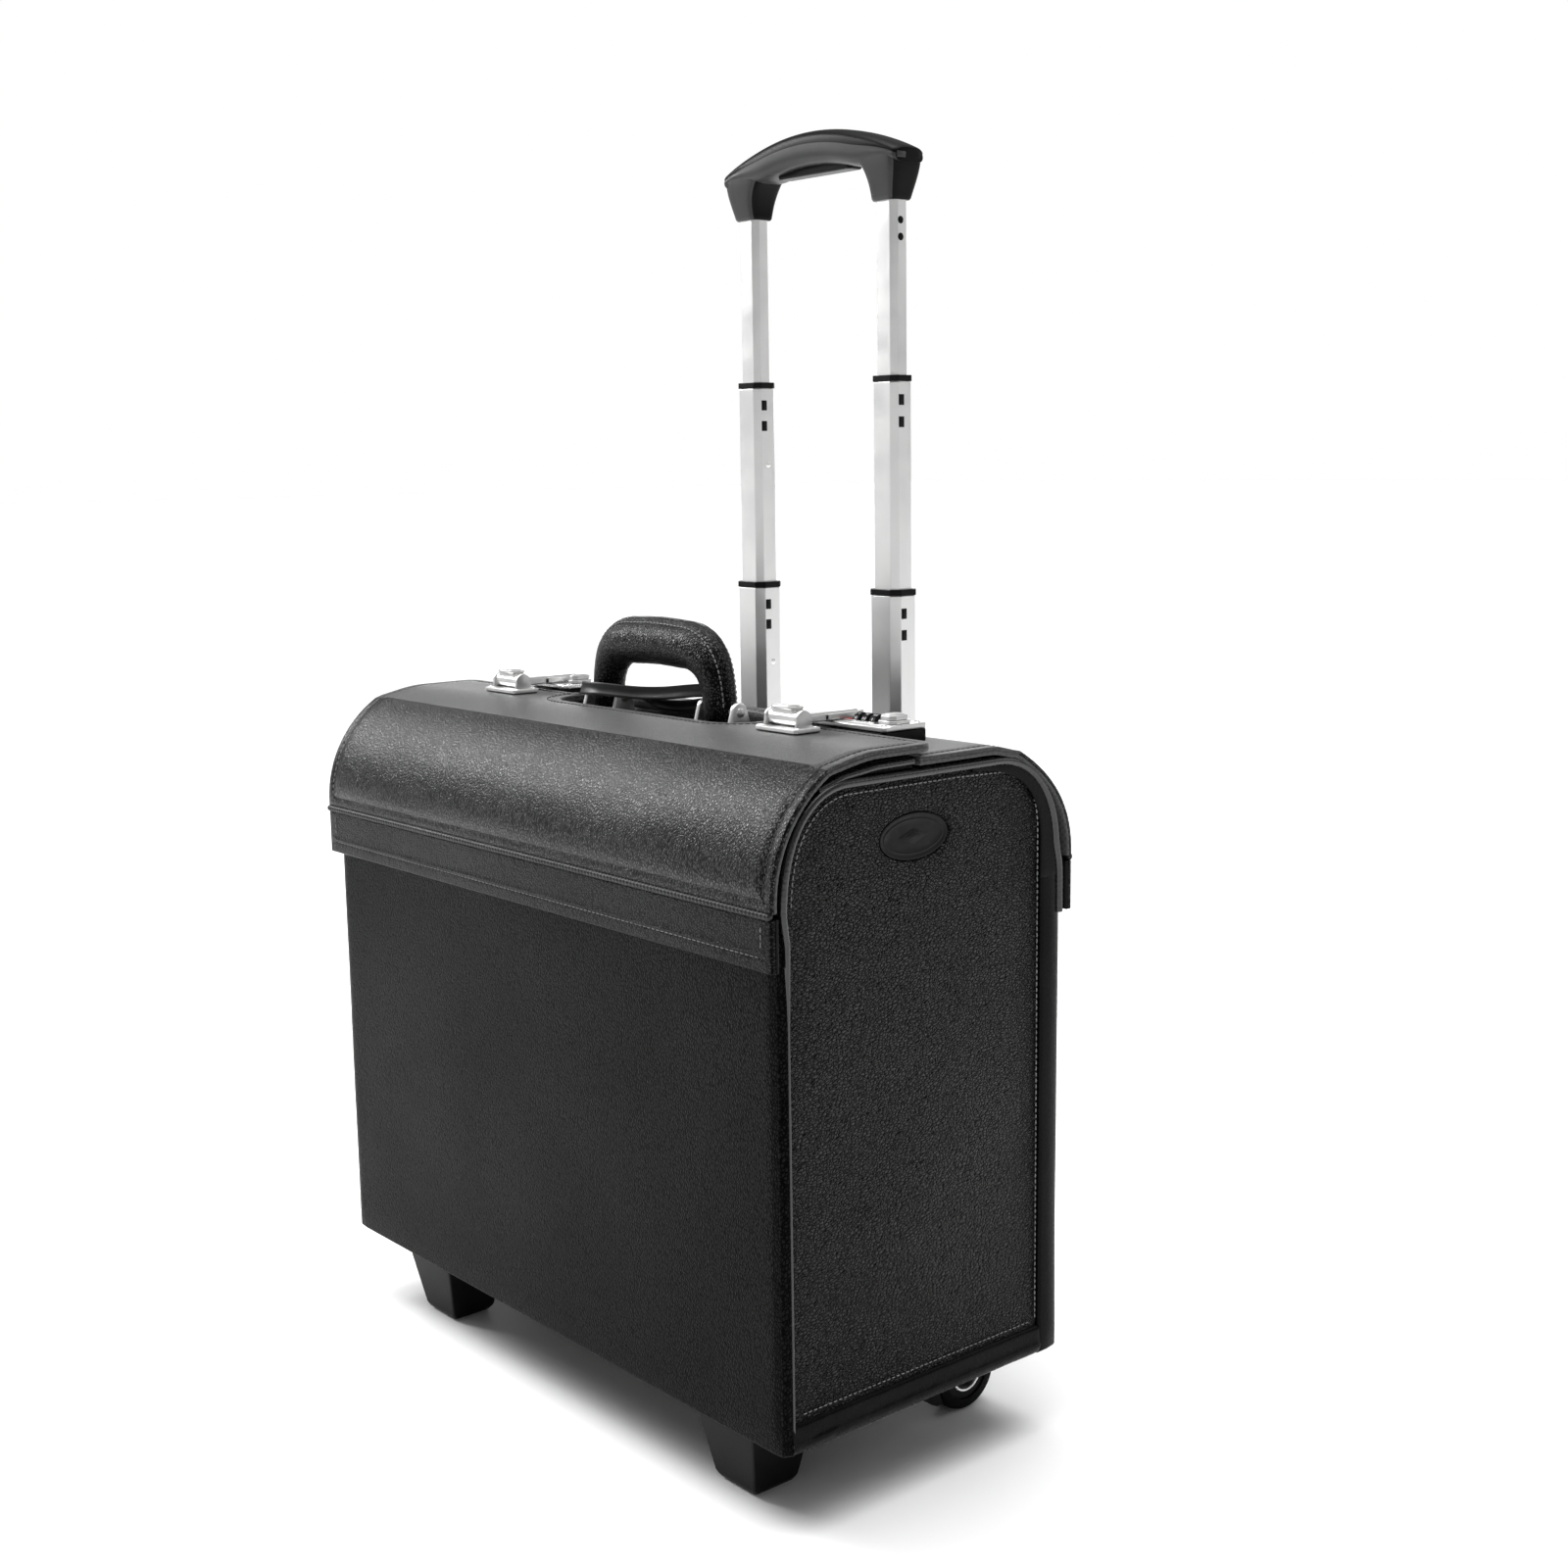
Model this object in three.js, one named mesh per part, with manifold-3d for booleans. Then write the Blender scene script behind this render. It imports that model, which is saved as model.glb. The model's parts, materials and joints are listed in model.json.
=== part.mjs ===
// Pilot rolling flight case: a leather-covered box on two feet and two wheels, with a hinged front
// lid flap, a fixed rear flap, a wrapped carry handle, two latches and a three-stage trolley handle.
// Millimetres. +X runs along the long side, the front looks towards -Y and +Z is up. The origin is on
// the floor under the middle of the whole object.
import * as THREE from 'three';
import { mergeVertices } from 'three/addons/utils/BufferGeometryUtils.js';
import Module from 'manifold-3d';

const wasm = await Module();
wasm.setup();

// ---------------------------------------------------------------- driving dimensions
const GAP = 0.3;                        // running gap between pieces that touch
const CASE_HALF_W = 230;                // body, along X
const CASE_HALF_D = 107.5;              // body, along Y
const CORNER_R = 6;                     // upright corners of the body
const BODY_Z = 50;                      // underside of the body
const FLOOR_T = 6;                      // floor panel
const BOARD = 5;                        // covered board of walls and end panels
const FRONT_WALL_TOP = 343;
const REAR_WALL_TOP = 350;
const FRONT_LIP_Y = -100;               // where the front wall's leather return ends
const REAR_LIP_Y = 90;                  // where the rear binding ends
const END_TOP = 408;                    // top of the end panels

const FLAP_HALF_W = 232;
const FLAP_Y = 113.5;                   // outer face of the flaps, front and rear
const FLAP_T = 4.5;
const BAND_BOTTOM = 317;                // free lower edge of the stitched bands
const HINGE_Z = 347;                    // fold line of the front flap
const HINGE_SLIT = 1.5;                 // half of the slit that the fold leaves
const LID_Z = 425;                      // top of the front flap
const REAR_LID_Z = 418;                 // top of the rear flap
const FRONT_EDGE_Y = 4;                 // free edge of the front flap
const REAR_EDGE_Y = -8;                 // free edge of the rear flap, under the front one

const HANDLE_Y = -4;                    // middle of the carry handle and of its well
const WELL_R = 22;                      // half depth and end radius of the well
const WELL_HALF_L = 95;
const COLLAR_HALF_L = 112;
const COLLAR_REAR_Y = 38;
const RAIL_Z = 405;                     // top of the rail that carries the handle
const LEG_X = 58;                       // middle of each handle leg
const HANDLE_R = 13;
const GRIP_LINE_Z = 464.5;              // middle of the hand grip
const BEND_R = 28;
const PIN_Z = 428;
const PIN_R = 2.5;
const EAR_T = 4;
const EAR_INSIDE = 14;                  // from the leg's middle to the ear's inner face

const LATCH_X = 141;                    // middle of each latch's front plate
const LATCH_AXIS_Y = -23;
const LATCH_AXIS_Z = 435.5;
const PLATE_T = 3;
const LOCK_Z = 425.8;                   // underside of the rear lock plates
const LOCK_Y = [5, 39];
const DIAL_R = 6;
const DIAL_PITCH = 6.8;

const TUBE_X = 66;                      // middle of each trolley tube
const TUBE_Y = 130;
const STAGES = [                        // outer section, corner chamfer, wall and ends of each tube
  { name: 'base', w: 32, d: 27, chamfer: 5.5, wall: 2, z0: 58, z1: 364 },
  { name: 'lower', w: 27, d: 22, chamfer: 5, wall: 1.5, z0: 308, z1: 490 },
  { name: 'middle', w: 22.5, d: 18, chamfer: 4, wall: 1.5, z0: 430, z1: 622 },
  { name: 'upper', w: 18.5, d: 14, chamfer: 3.5, wall: 1.4, z0: 562, z1: 744 },
];
const COLLAR_H = 4;
const GRIP_Z = [731, 780];
const GRIP_HALF_W = 92;
const GRIP_D = 30;

const WHEEL_R = 24;
const WHEEL_Y = 81;
const WHEEL_X = [160, 180];
const AXLE_R = 3;
const FOOT_X = 160;
const FOOT_Y = -70;

// The front face of the flap and the back of the grip are the ends of the object along Y.
const ORIGIN_Y = (TUBE_Y + GRIP_D / 2 - FLAP_Y) / 2;

// ---------------------------------------------------------------- materials
function finish(color, roughness, metalness) {
  return { color, roughness, metalness };
}
const LEATHER = finish(0x232323, 0.55, 0);
const DARK_LEATHER = finish(0x161616, 0.5, 0);
const NICKEL = finish(0xc9c9c6, 0.22, 1);
const ALUMINIUM = finish(0xdadbdc, 0.35, 1);
const BLACK_PLASTIC = finish(0x1b1b1c, 0.45, 0);
const RUBBER = finish(0x111111, 0.85, 0);
const STEEL = finish(0x9a9a98, 0.35, 1);

// ---------------------------------------------------------------- geometry helpers
function box(x0, x1, y0, y1, z0, z1) {
  const g = new THREE.BoxGeometry(x1 - x0, y1 - y0, z1 - z0);
  return g.translate((x0 + x1) / 2, (y0 + y1) / 2, (z0 + z1) / 2);
}

// A shape drawn in XY, raised from z0 to z1.
function prismZ(shape, z0, z1, bevel = 0, curveSegments = 8) {
  const g = new THREE.ExtrudeGeometry(shape, {
    depth: z1 - z0 - 2 * bevel,
    bevelEnabled: bevel > 0,
    bevelSize: bevel,
    bevelThickness: bevel,
    bevelOffset: -bevel,
    bevelSegments: 1,
    curveSegments,
  });
  return g.translate(0, 0, z0 + bevel);
}

// A shape drawn in YZ, run along X.
function prismX(shape, x0, x1, curveSegments = 10) {
  const g = new THREE.ExtrudeGeometry(shape, { depth: x1 - x0, bevelEnabled: false, curveSegments });
  const turn = new THREE.Matrix4().makeBasis(
    new THREE.Vector3(0, 1, 0), new THREE.Vector3(0, 0, 1), new THREE.Vector3(1, 0, 0));
  return g.applyMatrix4(turn).translate(x0, 0, 0);
}

// A shape drawn in XZ, run along Y.
function prismY(shape, y0, y1, bevel = 0) {
  const g = new THREE.ExtrudeGeometry(shape, {
    depth: y1 - y0 - 2 * bevel,
    bevelEnabled: bevel > 0,
    bevelSize: bevel,
    bevelThickness: bevel,
    bevelOffset: -bevel,
    bevelSegments: 2,
    curveSegments: 10,
  });
  return g.rotateX(Math.PI / 2).translate(0, y1 - bevel, 0);
}

function cylinderX(radius, x0, x1, y, z, segments = 24) {
  const g = new THREE.CylinderGeometry(radius, radius, x1 - x0, segments);
  return g.rotateZ(Math.PI / 2).translate((x0 + x1) / 2, y, z);
}

// A closed ring: [radius, station] points turned about the X axis.
function ringX(profile, segments = 32) {
  const points = profile.map(([r, s]) => new THREE.Vector2(r, s));
  points.push(points[0].clone());
  return new THREE.LatheGeometry(points, segments).rotateZ(-Math.PI / 2);
}

function polygon(points) {
  return new THREE.Shape(points.map(([a, b]) => new THREE.Vector2(a, b)));
}

function roundedRect(halfA, halfB, r) {
  const s = new THREE.Shape();
  s.moveTo(-halfA + r, -halfB);
  s.lineTo(halfA - r, -halfB);
  s.absarc(halfA - r, -halfB + r, r, -Math.PI / 2, 0);
  s.lineTo(halfA, halfB - r);
  s.absarc(halfA - r, halfB - r, r, 0, Math.PI / 2);
  s.lineTo(-halfA + r, halfB);
  s.absarc(-halfA + r, halfB - r, r, Math.PI / 2, Math.PI);
  s.lineTo(-halfA, -halfB + r);
  s.absarc(-halfA + r, -halfB + r, r, Math.PI, 1.5 * Math.PI);
  return s;
}

function chamferedRect(halfA, halfB, c) {
  return polygon([
    [-halfA + c, -halfB], [halfA - c, -halfB], [halfA, -halfB + c], [halfA, halfB - c],
    [halfA - c, halfB], [-halfA + c, halfB], [-halfA, halfB - c], [-halfA, -halfB + c],
  ]);
}

// A slot outline with round ends, centred on (0, y).
function stadium(halfL, r, y) {
  const s = new THREE.Shape();
  s.moveTo(-halfL + r, y - r);
  s.lineTo(halfL - r, y - r);
  s.absarc(halfL - r, y, r, -Math.PI / 2, Math.PI / 2);
  s.lineTo(-halfL + r, y + r);
  s.absarc(-halfL + r, y, r, Math.PI / 2, 1.5 * Math.PI);
  return s;
}

// ---------------------------------------------------------------- booleans
function toSolid(geometry) {
  const bare = geometry.clone();
  bare.deleteAttribute('normal');
  bare.deleteAttribute('uv');
  const merged = mergeVertices(bare, 1e-4);
  return new wasm.Manifold(new wasm.Mesh({
    numProp: 3,
    vertProperties: new Float32Array(merged.attributes.position.array),
    triVerts: new Uint32Array(merged.index.array),
  }));
}

function toGeometry(solid) {
  const mesh = solid.getMesh();
  const g = new THREE.BufferGeometry();
  g.setAttribute('position', new THREE.BufferAttribute(new Float32Array(mesh.vertProperties), 3));
  g.setIndex(new THREE.BufferAttribute(new Uint32Array(mesh.triVerts), 1));
  g.computeVertexNormals();
  return g;
}

function join(first, ...others) {
  return toGeometry(others.reduce((sum, g) => sum.add(toSolid(g)), toSolid(first)));
}

function cut(first, ...cutters) {
  return toGeometry(cutters.reduce((rest, g) => rest.subtract(toSolid(g)), toSolid(first)));
}

function overlap(first, second) {
  return toGeometry(toSolid(first).intersect(toSolid(second)));
}

// ---------------------------------------------------------------- scene graph
const flightCase = new THREE.Group();
flightCase.position.set(0, -ORIGIN_Y, 0);

function add(parent, name, geometry, look, place = [0, 0, 0]) {
  const mesh = new THREE.Mesh(geometry, new THREE.MeshStandardMaterial(look));
  mesh.name = name;
  mesh.position.set(...place);
  parent.add(mesh);
  return mesh;
}

const SIDES = [['left', -1], ['right', 1]];

// ---------------------------------------------------------------- body shell
// A wall with rounded upright corners and a short return along each end panel.
function wallShape(face, lip) {
  const inside = face - Math.sign(face) * BOARD;
  const bend = face - Math.sign(face) * CORNER_R;
  const turn = Math.sign(face) * Math.PI / 2;
  const x = CASE_HALF_W;
  const s = new THREE.Shape();
  s.moveTo(-x, lip);
  s.lineTo(-x, bend);
  s.absarc(-x + CORNER_R, bend, CORNER_R, Math.PI, turn, face > 0);
  s.lineTo(x - CORNER_R, face);
  s.absarc(x - CORNER_R, bend, CORNER_R, turn, 0, face > 0);
  s.lineTo(x, lip);
  s.lineTo(x - BOARD, lip);
  s.lineTo(x - BOARD, inside);
  s.lineTo(-x + BOARD, inside);
  s.lineTo(-x + BOARD, lip);
  return s;
}

// The end panel stands between the two walls' returns, and widens above them.
function endPanelShape() {
  const bottom = BODY_Z + FLOOR_T + GAP;
  const s = new THREE.Shape();
  s.moveTo(FRONT_LIP_Y + GAP, bottom);
  s.lineTo(REAR_LIP_Y - GAP, bottom);
  s.lineTo(REAR_LIP_Y - GAP, REAR_WALL_TOP + GAP);
  s.lineTo(98, REAR_WALL_TOP + GAP);
  s.bezierCurveTo(98, 385, 82, END_TOP, 54, END_TOP);
  s.lineTo(-58, END_TOP);
  s.bezierCurveTo(-85, END_TOP, -103.5, 385, -103.5, FRONT_WALL_TOP + GAP);
  s.lineTo(FRONT_LIP_Y + GAP, FRONT_WALL_TOP + GAP);
  return s;
}

function buildShell(parent) {
  const wallBottom = BODY_Z + FLOOR_T + GAP;
  add(parent, 'floor_panel',
    prismZ(roundedRect(CASE_HALF_W, CASE_HALF_D, CORNER_R), BODY_Z, BODY_Z + FLOOR_T), DARK_LEATHER);
  add(parent, 'front_wall',
    prismZ(wallShape(-CASE_HALF_D, FRONT_LIP_Y), wallBottom, FRONT_WALL_TOP), LEATHER);
  add(parent, 'rear_wall',
    prismZ(wallShape(CASE_HALF_D, REAR_LIP_Y), wallBottom, REAR_WALL_TOP), DARK_LEATHER);
  const recess = 1.5;
  for (const [side, sign] of SIDES) {
    const middle = sign * (CASE_HALF_W - recess - BOARD / 2);
    add(parent, `end_panel_${side}`, prismX(endPanelShape(), -BOARD / 2, BOARD / 2), LEATHER,
      [middle, 0, 0]);
  }
  const railHalf = CASE_HALF_W - recess - BOARD - GAP;
  add(parent, 'handle_rail', box(-railHalf, railHalf, -13, 13, -17, 0), DARK_LEATHER,
    [0, HANDLE_Y, RAIL_Z]);
}

// ---------------------------------------------------------------- lid
// Side outline of a flap: upright from the fold, round the crest and level to its free edge.
// sign is -1 for the front flap and +1 for the rear one.
function flapShape(sign, top, crestY, shoulderY, edgeY) {
  const inner = FLAP_Y - FLAP_T;
  const under = top - FLAP_T;
  const low = HINGE_Z + HINGE_SLIT;
  const bend = HINGE_Z + 5;
  const s = new THREE.Shape();
  s.moveTo(sign * FLAP_Y, low);
  s.lineTo(sign * FLAP_Y, bend);
  s.bezierCurveTo(sign * FLAP_Y, bend + 27, sign * shoulderY, top, sign * crestY, top);
  s.lineTo(edgeY, top);
  s.lineTo(edgeY, under);
  s.lineTo(sign * crestY, under);
  s.bezierCurveTo(sign * (shoulderY - 3), under, sign * inner, bend + 26, sign * inner, bend);
  s.lineTo(sign * inner, low);
  return s;
}

// Rounds the two free corners of a flap, seen from above.
function roundedFlap(geometry, edgeY, r) {
  const sign = Math.sign(edgeY) || 1;
  const plan = new THREE.Shape();
  plan.moveTo(-FLAP_HALF_W, -sign * 120);
  plan.lineTo(FLAP_HALF_W, -sign * 120);
  plan.lineTo(FLAP_HALF_W, edgeY - sign * r);
  plan.absarc(FLAP_HALF_W - r, edgeY - sign * r, r, 0, sign * Math.PI / 2, sign < 0);
  plan.lineTo(-FLAP_HALF_W + r, edgeY);
  plan.absarc(-FLAP_HALF_W + r, edgeY - sign * r, r, sign * Math.PI / 2, sign * Math.PI, sign < 0);
  return overlap(geometry, prismZ(plan, HINGE_Z - 10, LID_Z + 10));
}

function bandBox(sign) {
  const near = CASE_HALF_D + GAP;
  const [y0, y1] = sign < 0 ? [-FLAP_Y, -near] : [near, FLAP_Y];
  return box(-FLAP_HALF_W, FLAP_HALF_W, y0, y1, BAND_BOTTOM, HINGE_Z - HINGE_SLIT);
}

// The leather pad that closes the rear half of the handle well.
function collarShape() {
  const start = FRONT_EDGE_Y + GAP;
  const well = WELL_R - 1;
  const meet = WELL_HALF_L - WELL_R + Math.sqrt(well ** 2 - (start - HANDLE_Y) ** 2);
  const s = new THREE.Shape();
  s.moveTo(COLLAR_HALF_L, start);
  s.bezierCurveTo(COLLAR_HALF_L - 2, 30, 84, COLLAR_REAR_Y, 60, COLLAR_REAR_Y);
  s.lineTo(-60, COLLAR_REAR_Y);
  s.bezierCurveTo(-84, COLLAR_REAR_Y, -COLLAR_HALF_L + 2, 30, -COLLAR_HALF_L, start);
  s.lineTo(-meet, start);
  const turn = Math.asin((start - HANDLE_Y) / well);
  const endX = WELL_HALF_L - WELL_R;
  s.absarc(-endX, HANDLE_Y, well, Math.PI - turn, Math.PI / 2, true);
  s.absarc(endX, HANDLE_Y, well, Math.PI / 2, turn, true);
  return s;
}

function buildFixedLid(parent) {
  add(parent, 'front_hinge_band', bandBox(-1), LEATHER);
  add(parent, 'rear_hinge_band', bandBox(1), LEATHER);
  const well = prismZ(stadium(WELL_HALF_L, WELL_R, HANDLE_Y), RAIL_Z, LID_Z + 10);
  const shell = prismX(flapShape(1, REAR_LID_Z, 45, 100, REAR_EDGE_Y), -FLAP_HALF_W, FLAP_HALF_W);
  add(parent, 'rear_flap', cut(shell, well), LEATHER);
  add(parent, 'rear_handle_collar', prismZ(collarShape(), REAR_LID_Z + GAP, LID_Z), LEATHER);
}

function buildFrontFlap(parent) {
  const shell = prismX(flapShape(-1, LID_Z, 40, 104.7, FRONT_EDGE_Y), -FLAP_HALF_W, FLAP_HALF_W, 14);
  const well = prismZ(stadium(WELL_HALF_L, WELL_R, HANDLE_Y), RAIL_Z, LID_Z + 10);
  add(parent, 'front_flap', cut(roundedFlap(shell, FRONT_EDGE_Y, 10), well), LEATHER);
}

// ---------------------------------------------------------------- carry handle
// Two tapered ears on a base plate, bored for the pin.
function handleBracket() {
  const baseHalf = EAR_INSIDE + EAR_T;
  const plateTop = RAIL_Z + GAP + PLATE_T - PIN_Z;
  const plate = box(-baseHalf, baseHalf, -13, 13, plateTop - PLATE_T, plateTop);
  const ear = new THREE.Shape();
  ear.moveTo(-12, plateTop - 1);
  ear.lineTo(12, plateTop - 1);
  ear.lineTo(8, 0);
  ear.absarc(0, 0, 8, 0, Math.PI);
  const ears = [-1, 1].map((sign) => {
    const inner = sign * EAR_INSIDE;
    const outer = sign * (EAR_INSIDE + EAR_T);
    return prismX(ear, Math.min(inner, outer), Math.max(inner, outer), 12);
  });
  return cut(join(plate, ...ears), cylinderX(PIN_R + GAP, -30, 30, 0, 0, 20));
}

// A round bar bent to an upside-down U, bored at the foot of each leg.
function carryHandle() {
  const top = GRIP_LINE_Z - PIN_Z;
  const foot = -9;
  const path = new THREE.CurvePath();
  const corner = (x0, z0, cx, cz, x1, z1) => new THREE.QuadraticBezierCurve3(
    new THREE.Vector3(x0, 0, z0), new THREE.Vector3(cx, 0, cz), new THREE.Vector3(x1, 0, z1));
  const line = (x0, z0, x1, z1) => new THREE.LineCurve3(
    new THREE.Vector3(x0, 0, z0), new THREE.Vector3(x1, 0, z1));
  path.add(line(-LEG_X, foot, -LEG_X, top - BEND_R));
  path.add(corner(-LEG_X, top - BEND_R, -LEG_X, top, -LEG_X + BEND_R, top));
  path.add(line(-LEG_X + BEND_R, top, LEG_X - BEND_R, top));
  path.add(corner(LEG_X - BEND_R, top, LEG_X, top, LEG_X, top - BEND_R));
  path.add(line(LEG_X, top - BEND_R, LEG_X, foot));
  const section = new THREE.Shape().absarc(0, 0, HANDLE_R, 0, 2 * Math.PI);
  const bar = new THREE.ExtrudeGeometry(section, { steps: 36, curveSegments: 7, extrudePath: path });
  const bores = [-1, 1].map((s) => cylinderX(PIN_R + GAP, s * LEG_X - 15, s * LEG_X + 15, 0, 0, 20));
  return cut(bar, ...bores);
}

// A flat strap on edge: round the front of the left leg, then across behind the right one.
function tagStrap() {
  const route = new THREE.CatmullRomCurve3([
    [-80, -2], [-76, -15], [-60, -21.5], [-42, -18], [-18, -3], [12, 9], [34, 14], [64, 15],
  ].map(([x, y]) => new THREE.Vector3(x, y, 0)));
  const steps = 24;
  const half = 0.8;
  const left = [];
  const right = [];
  for (let i = 0; i <= steps; i += 1) {
    const p = route.getPoint(i / steps);
    const t = route.getTangent(i / steps);
    left.push([p.x - t.y * half, p.y + t.x * half]);
    right.unshift([p.x + t.y * half, p.y - t.x * half]);
  }
  return prismZ(polygon([...left, ...right]), 432, 441);
}

function buildCarryHandle(parent) {
  const pinHalf = EAR_INSIDE + EAR_T + 0.8;
  for (const [side, sign] of SIDES) {
    const place = [sign * LEG_X, HANDLE_Y, PIN_Z];
    add(parent, `handle_bracket_${side}`, handleBracket(), NICKEL, place);
    add(parent, `handle_pin_${side}`, cylinderX(PIN_R, -pinHalf, pinHalf, 0, 0, 20), STEEL, place);
  }
  add(parent, 'carry_handle', carryHandle(), LEATHER, [0, HANDLE_Y, PIN_Z]);
  add(parent, 'tag_strap', tagStrap(), DARK_LEATHER);
}

// ---------------------------------------------------------------- latches
// Screwed plate with two cheeks that carry the hasp's barrel.
function latchBase() {
  const low = LID_Z + GAP - LATCH_AXIS_Z;
  const plate = prismZ(chamferedRect(18, 10, 1.5), low, low + PLATE_T, 0.6);
  const cheek = new THREE.Shape();
  cheek.moveTo(-8, low + 1);
  cheek.lineTo(8, low + 1);
  cheek.lineTo(7.2, 0);
  cheek.absarc(0, 0, 7.2, 0, Math.PI);
  return join(plate, prismX(cheek, -18, -15.4, 12), prismX(cheek, 15.4, 18, 12));
}

// Barrel with an oval thumb cap on top and the arm that reaches back over the lock plate.
function hasp() {
  const armLow = LOCK_Z + PLATE_T + 0.4 - LATCH_AXIS_Z;
  const barrel = cylinderX(6.2, -15, 15, 0, 0, 24);
  const arm = box(-6.5, 6.5, 0, 54, armLow, armLow + 4);
  const cap = prismZ(stadium(12, 5.5, 0), 3, 9, 1);
  return join(barrel, arm, cap);
}

function releaseSlide(halfW, halfD) {
  return prismZ(chamferedRect(halfW, halfD, 3.5), 0, 5, 1);
}

function lockDial() {
  const half = 2.6;
  return ringX([[1.5, -half], [DIAL_R - 0.5, -half], [DIAL_R, -half + 0.5], [DIAL_R, half - 0.5],
    [DIAL_R - 0.5, half], [1.5, half]], 20);
}

function buildLatches(fixed, flap) {
  const plinthTop = LOCK_Z - GAP;
  const plateTop = LOCK_Z + PLATE_T;
  const [y0, y1] = LOCK_Y;
  const middleY = (y0 + y1) / 2;
  const slideZ = plateTop + GAP;

  // Right side: combination lock with three dials.
  const lockX0 = LATCH_X - 18;
  const lockX1 = LATCH_X + 49;
  const dialX = LATCH_X + 19.5;
  const dialHalf = 1.5 * DIAL_PITCH + 0.9;
  const dialZ = LOCK_Z + 1;
  const pocket = box(dialX - dialHalf, dialX + dialHalf, middleY - 7, middleY + 7,
    dialZ - DIAL_R - 0.8, plateTop + 5);
  const lockHalf = (lockX1 - lockX0) / 2;
  const lockMiddle = (lockX0 + lockX1) / 2;
  const outline = chamferedRect(lockHalf, (y1 - y0) / 2, 2);
  const plinth = prismZ(outline, REAR_LID_Z + GAP, plinthTop).translate(lockMiddle, middleY, 0);
  const plate = prismZ(outline, LOCK_Z, plateTop, 0.6).translate(lockMiddle, middleY, 0);
  add(fixed, 'lock_plinth', cut(plinth, pocket), BLACK_PLASTIC);
  add(fixed, 'lock_plate', cut(plate, pocket), NICKEL);
  add(fixed, 'dial_axle', cylinderX(1.2, -dialHalf + GAP, dialHalf - GAP, 0, 0, 16), STEEL,
    [dialX, middleY, dialZ]);
  for (let i = 0; i < 3; i += 1) {
    add(fixed, `lock_dial_${i + 1}`, lockDial(), BLACK_PLASTIC,
      [dialX + (i - 1) * DIAL_PITCH, middleY, dialZ]);
  }
  add(fixed, 'lock_slide', releaseSlide(7.6, 8.5), NICKEL, [lockX1 - 9.6, middleY, slideZ]);

  // Left side: plain catch.
  const catchMiddle = -LATCH_X + 2;
  const small = chamferedRect(20, (y1 - y0) / 2, 2);
  add(fixed, 'catch_plinth', prismZ(small, REAR_LID_Z + GAP, plinthTop), BLACK_PLASTIC,
    [catchMiddle, middleY, 0]);
  add(fixed, 'catch_plate', prismZ(small, LOCK_Z, plateTop, 0.6), NICKEL, [catchMiddle, middleY, 0]);
  add(fixed, 'catch_slide', releaseSlide(5.2, 8.5), NICKEL, [catchMiddle + 12.4, middleY, slideZ]);

  for (const [side, sign] of SIDES) {
    const place = [sign * LATCH_X, LATCH_AXIS_Y, LATCH_AXIS_Z];
    add(flap, `latch_base_${side}`, latchBase(), NICKEL, place);
    add(flap, `latch_hasp_${side}`, hasp(), NICKEL, place);
  }
}

// ---------------------------------------------------------------- trolley
function tube(stage) {
  const shape = chamferedRect(stage.w / 2, stage.d / 2, stage.chamfer);
  shape.holes.push(chamferedRect(stage.w / 2 - stage.wall, stage.d / 2 - stage.wall,
    stage.chamfer - stage.wall * 0.6));
  return prismZ(shape, stage.z0, stage.z1);
}

// The collar on top of one tube, round the next thinner one.
function collar(stage, next) {
  const shape = chamferedRect(stage.w / 2 + 0.5, stage.d / 2 + 0.3, stage.chamfer);
  shape.holes.push(chamferedRect(next.w / 2 + GAP, next.d / 2 + GAP, next.chamfer));
  return prismZ(shape, stage.z1 + GAP, stage.z1 + COLLAR_H);
}

// Arched hand grip with flared legs, sockets for the tubes and a pocket for the squeeze bar.
function trolleyGrip() {
  const [low, high] = GRIP_Z;
  const w = GRIP_HALF_W;
  const s = new THREE.Shape();
  s.moveTo(-79, low);
  s.lineTo(-53.5, low);
  s.bezierCurveTo(-53, low + 10, -50, low + 26, -36, low + 26);
  s.lineTo(36, low + 26);
  s.bezierCurveTo(50, low + 26, 53, low + 10, 53.5, low);
  s.lineTo(79, low);
  s.bezierCurveTo(80, low + 12, w - 1, low + 16, w, low + 30);
  s.bezierCurveTo(w, low + 40, 60, high, 0, high);
  s.bezierCurveTo(-60, high, -w, low + 40, -w, low + 30);
  s.bezierCurveTo(-w + 1, low + 16, -80, low + 12, -79, low);
  const body = prismY(s, -GRIP_D / 2, GRIP_D / 2, 4);
  const upper = STAGES[3];
  const sockets = [-1, 1].map((sign) => prismZ(
    chamferedRect(upper.w / 2 + GAP, upper.d / 2 + GAP, upper.chamfer), low - 1, upper.z1 + GAP)
    .translate(sign * TUBE_X, 0, 0));
  const pocket = box(-35.5, 35.5, -7, 7, low + 20, low + 38);
  return cut(body, ...sockets, pocket);
}

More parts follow.
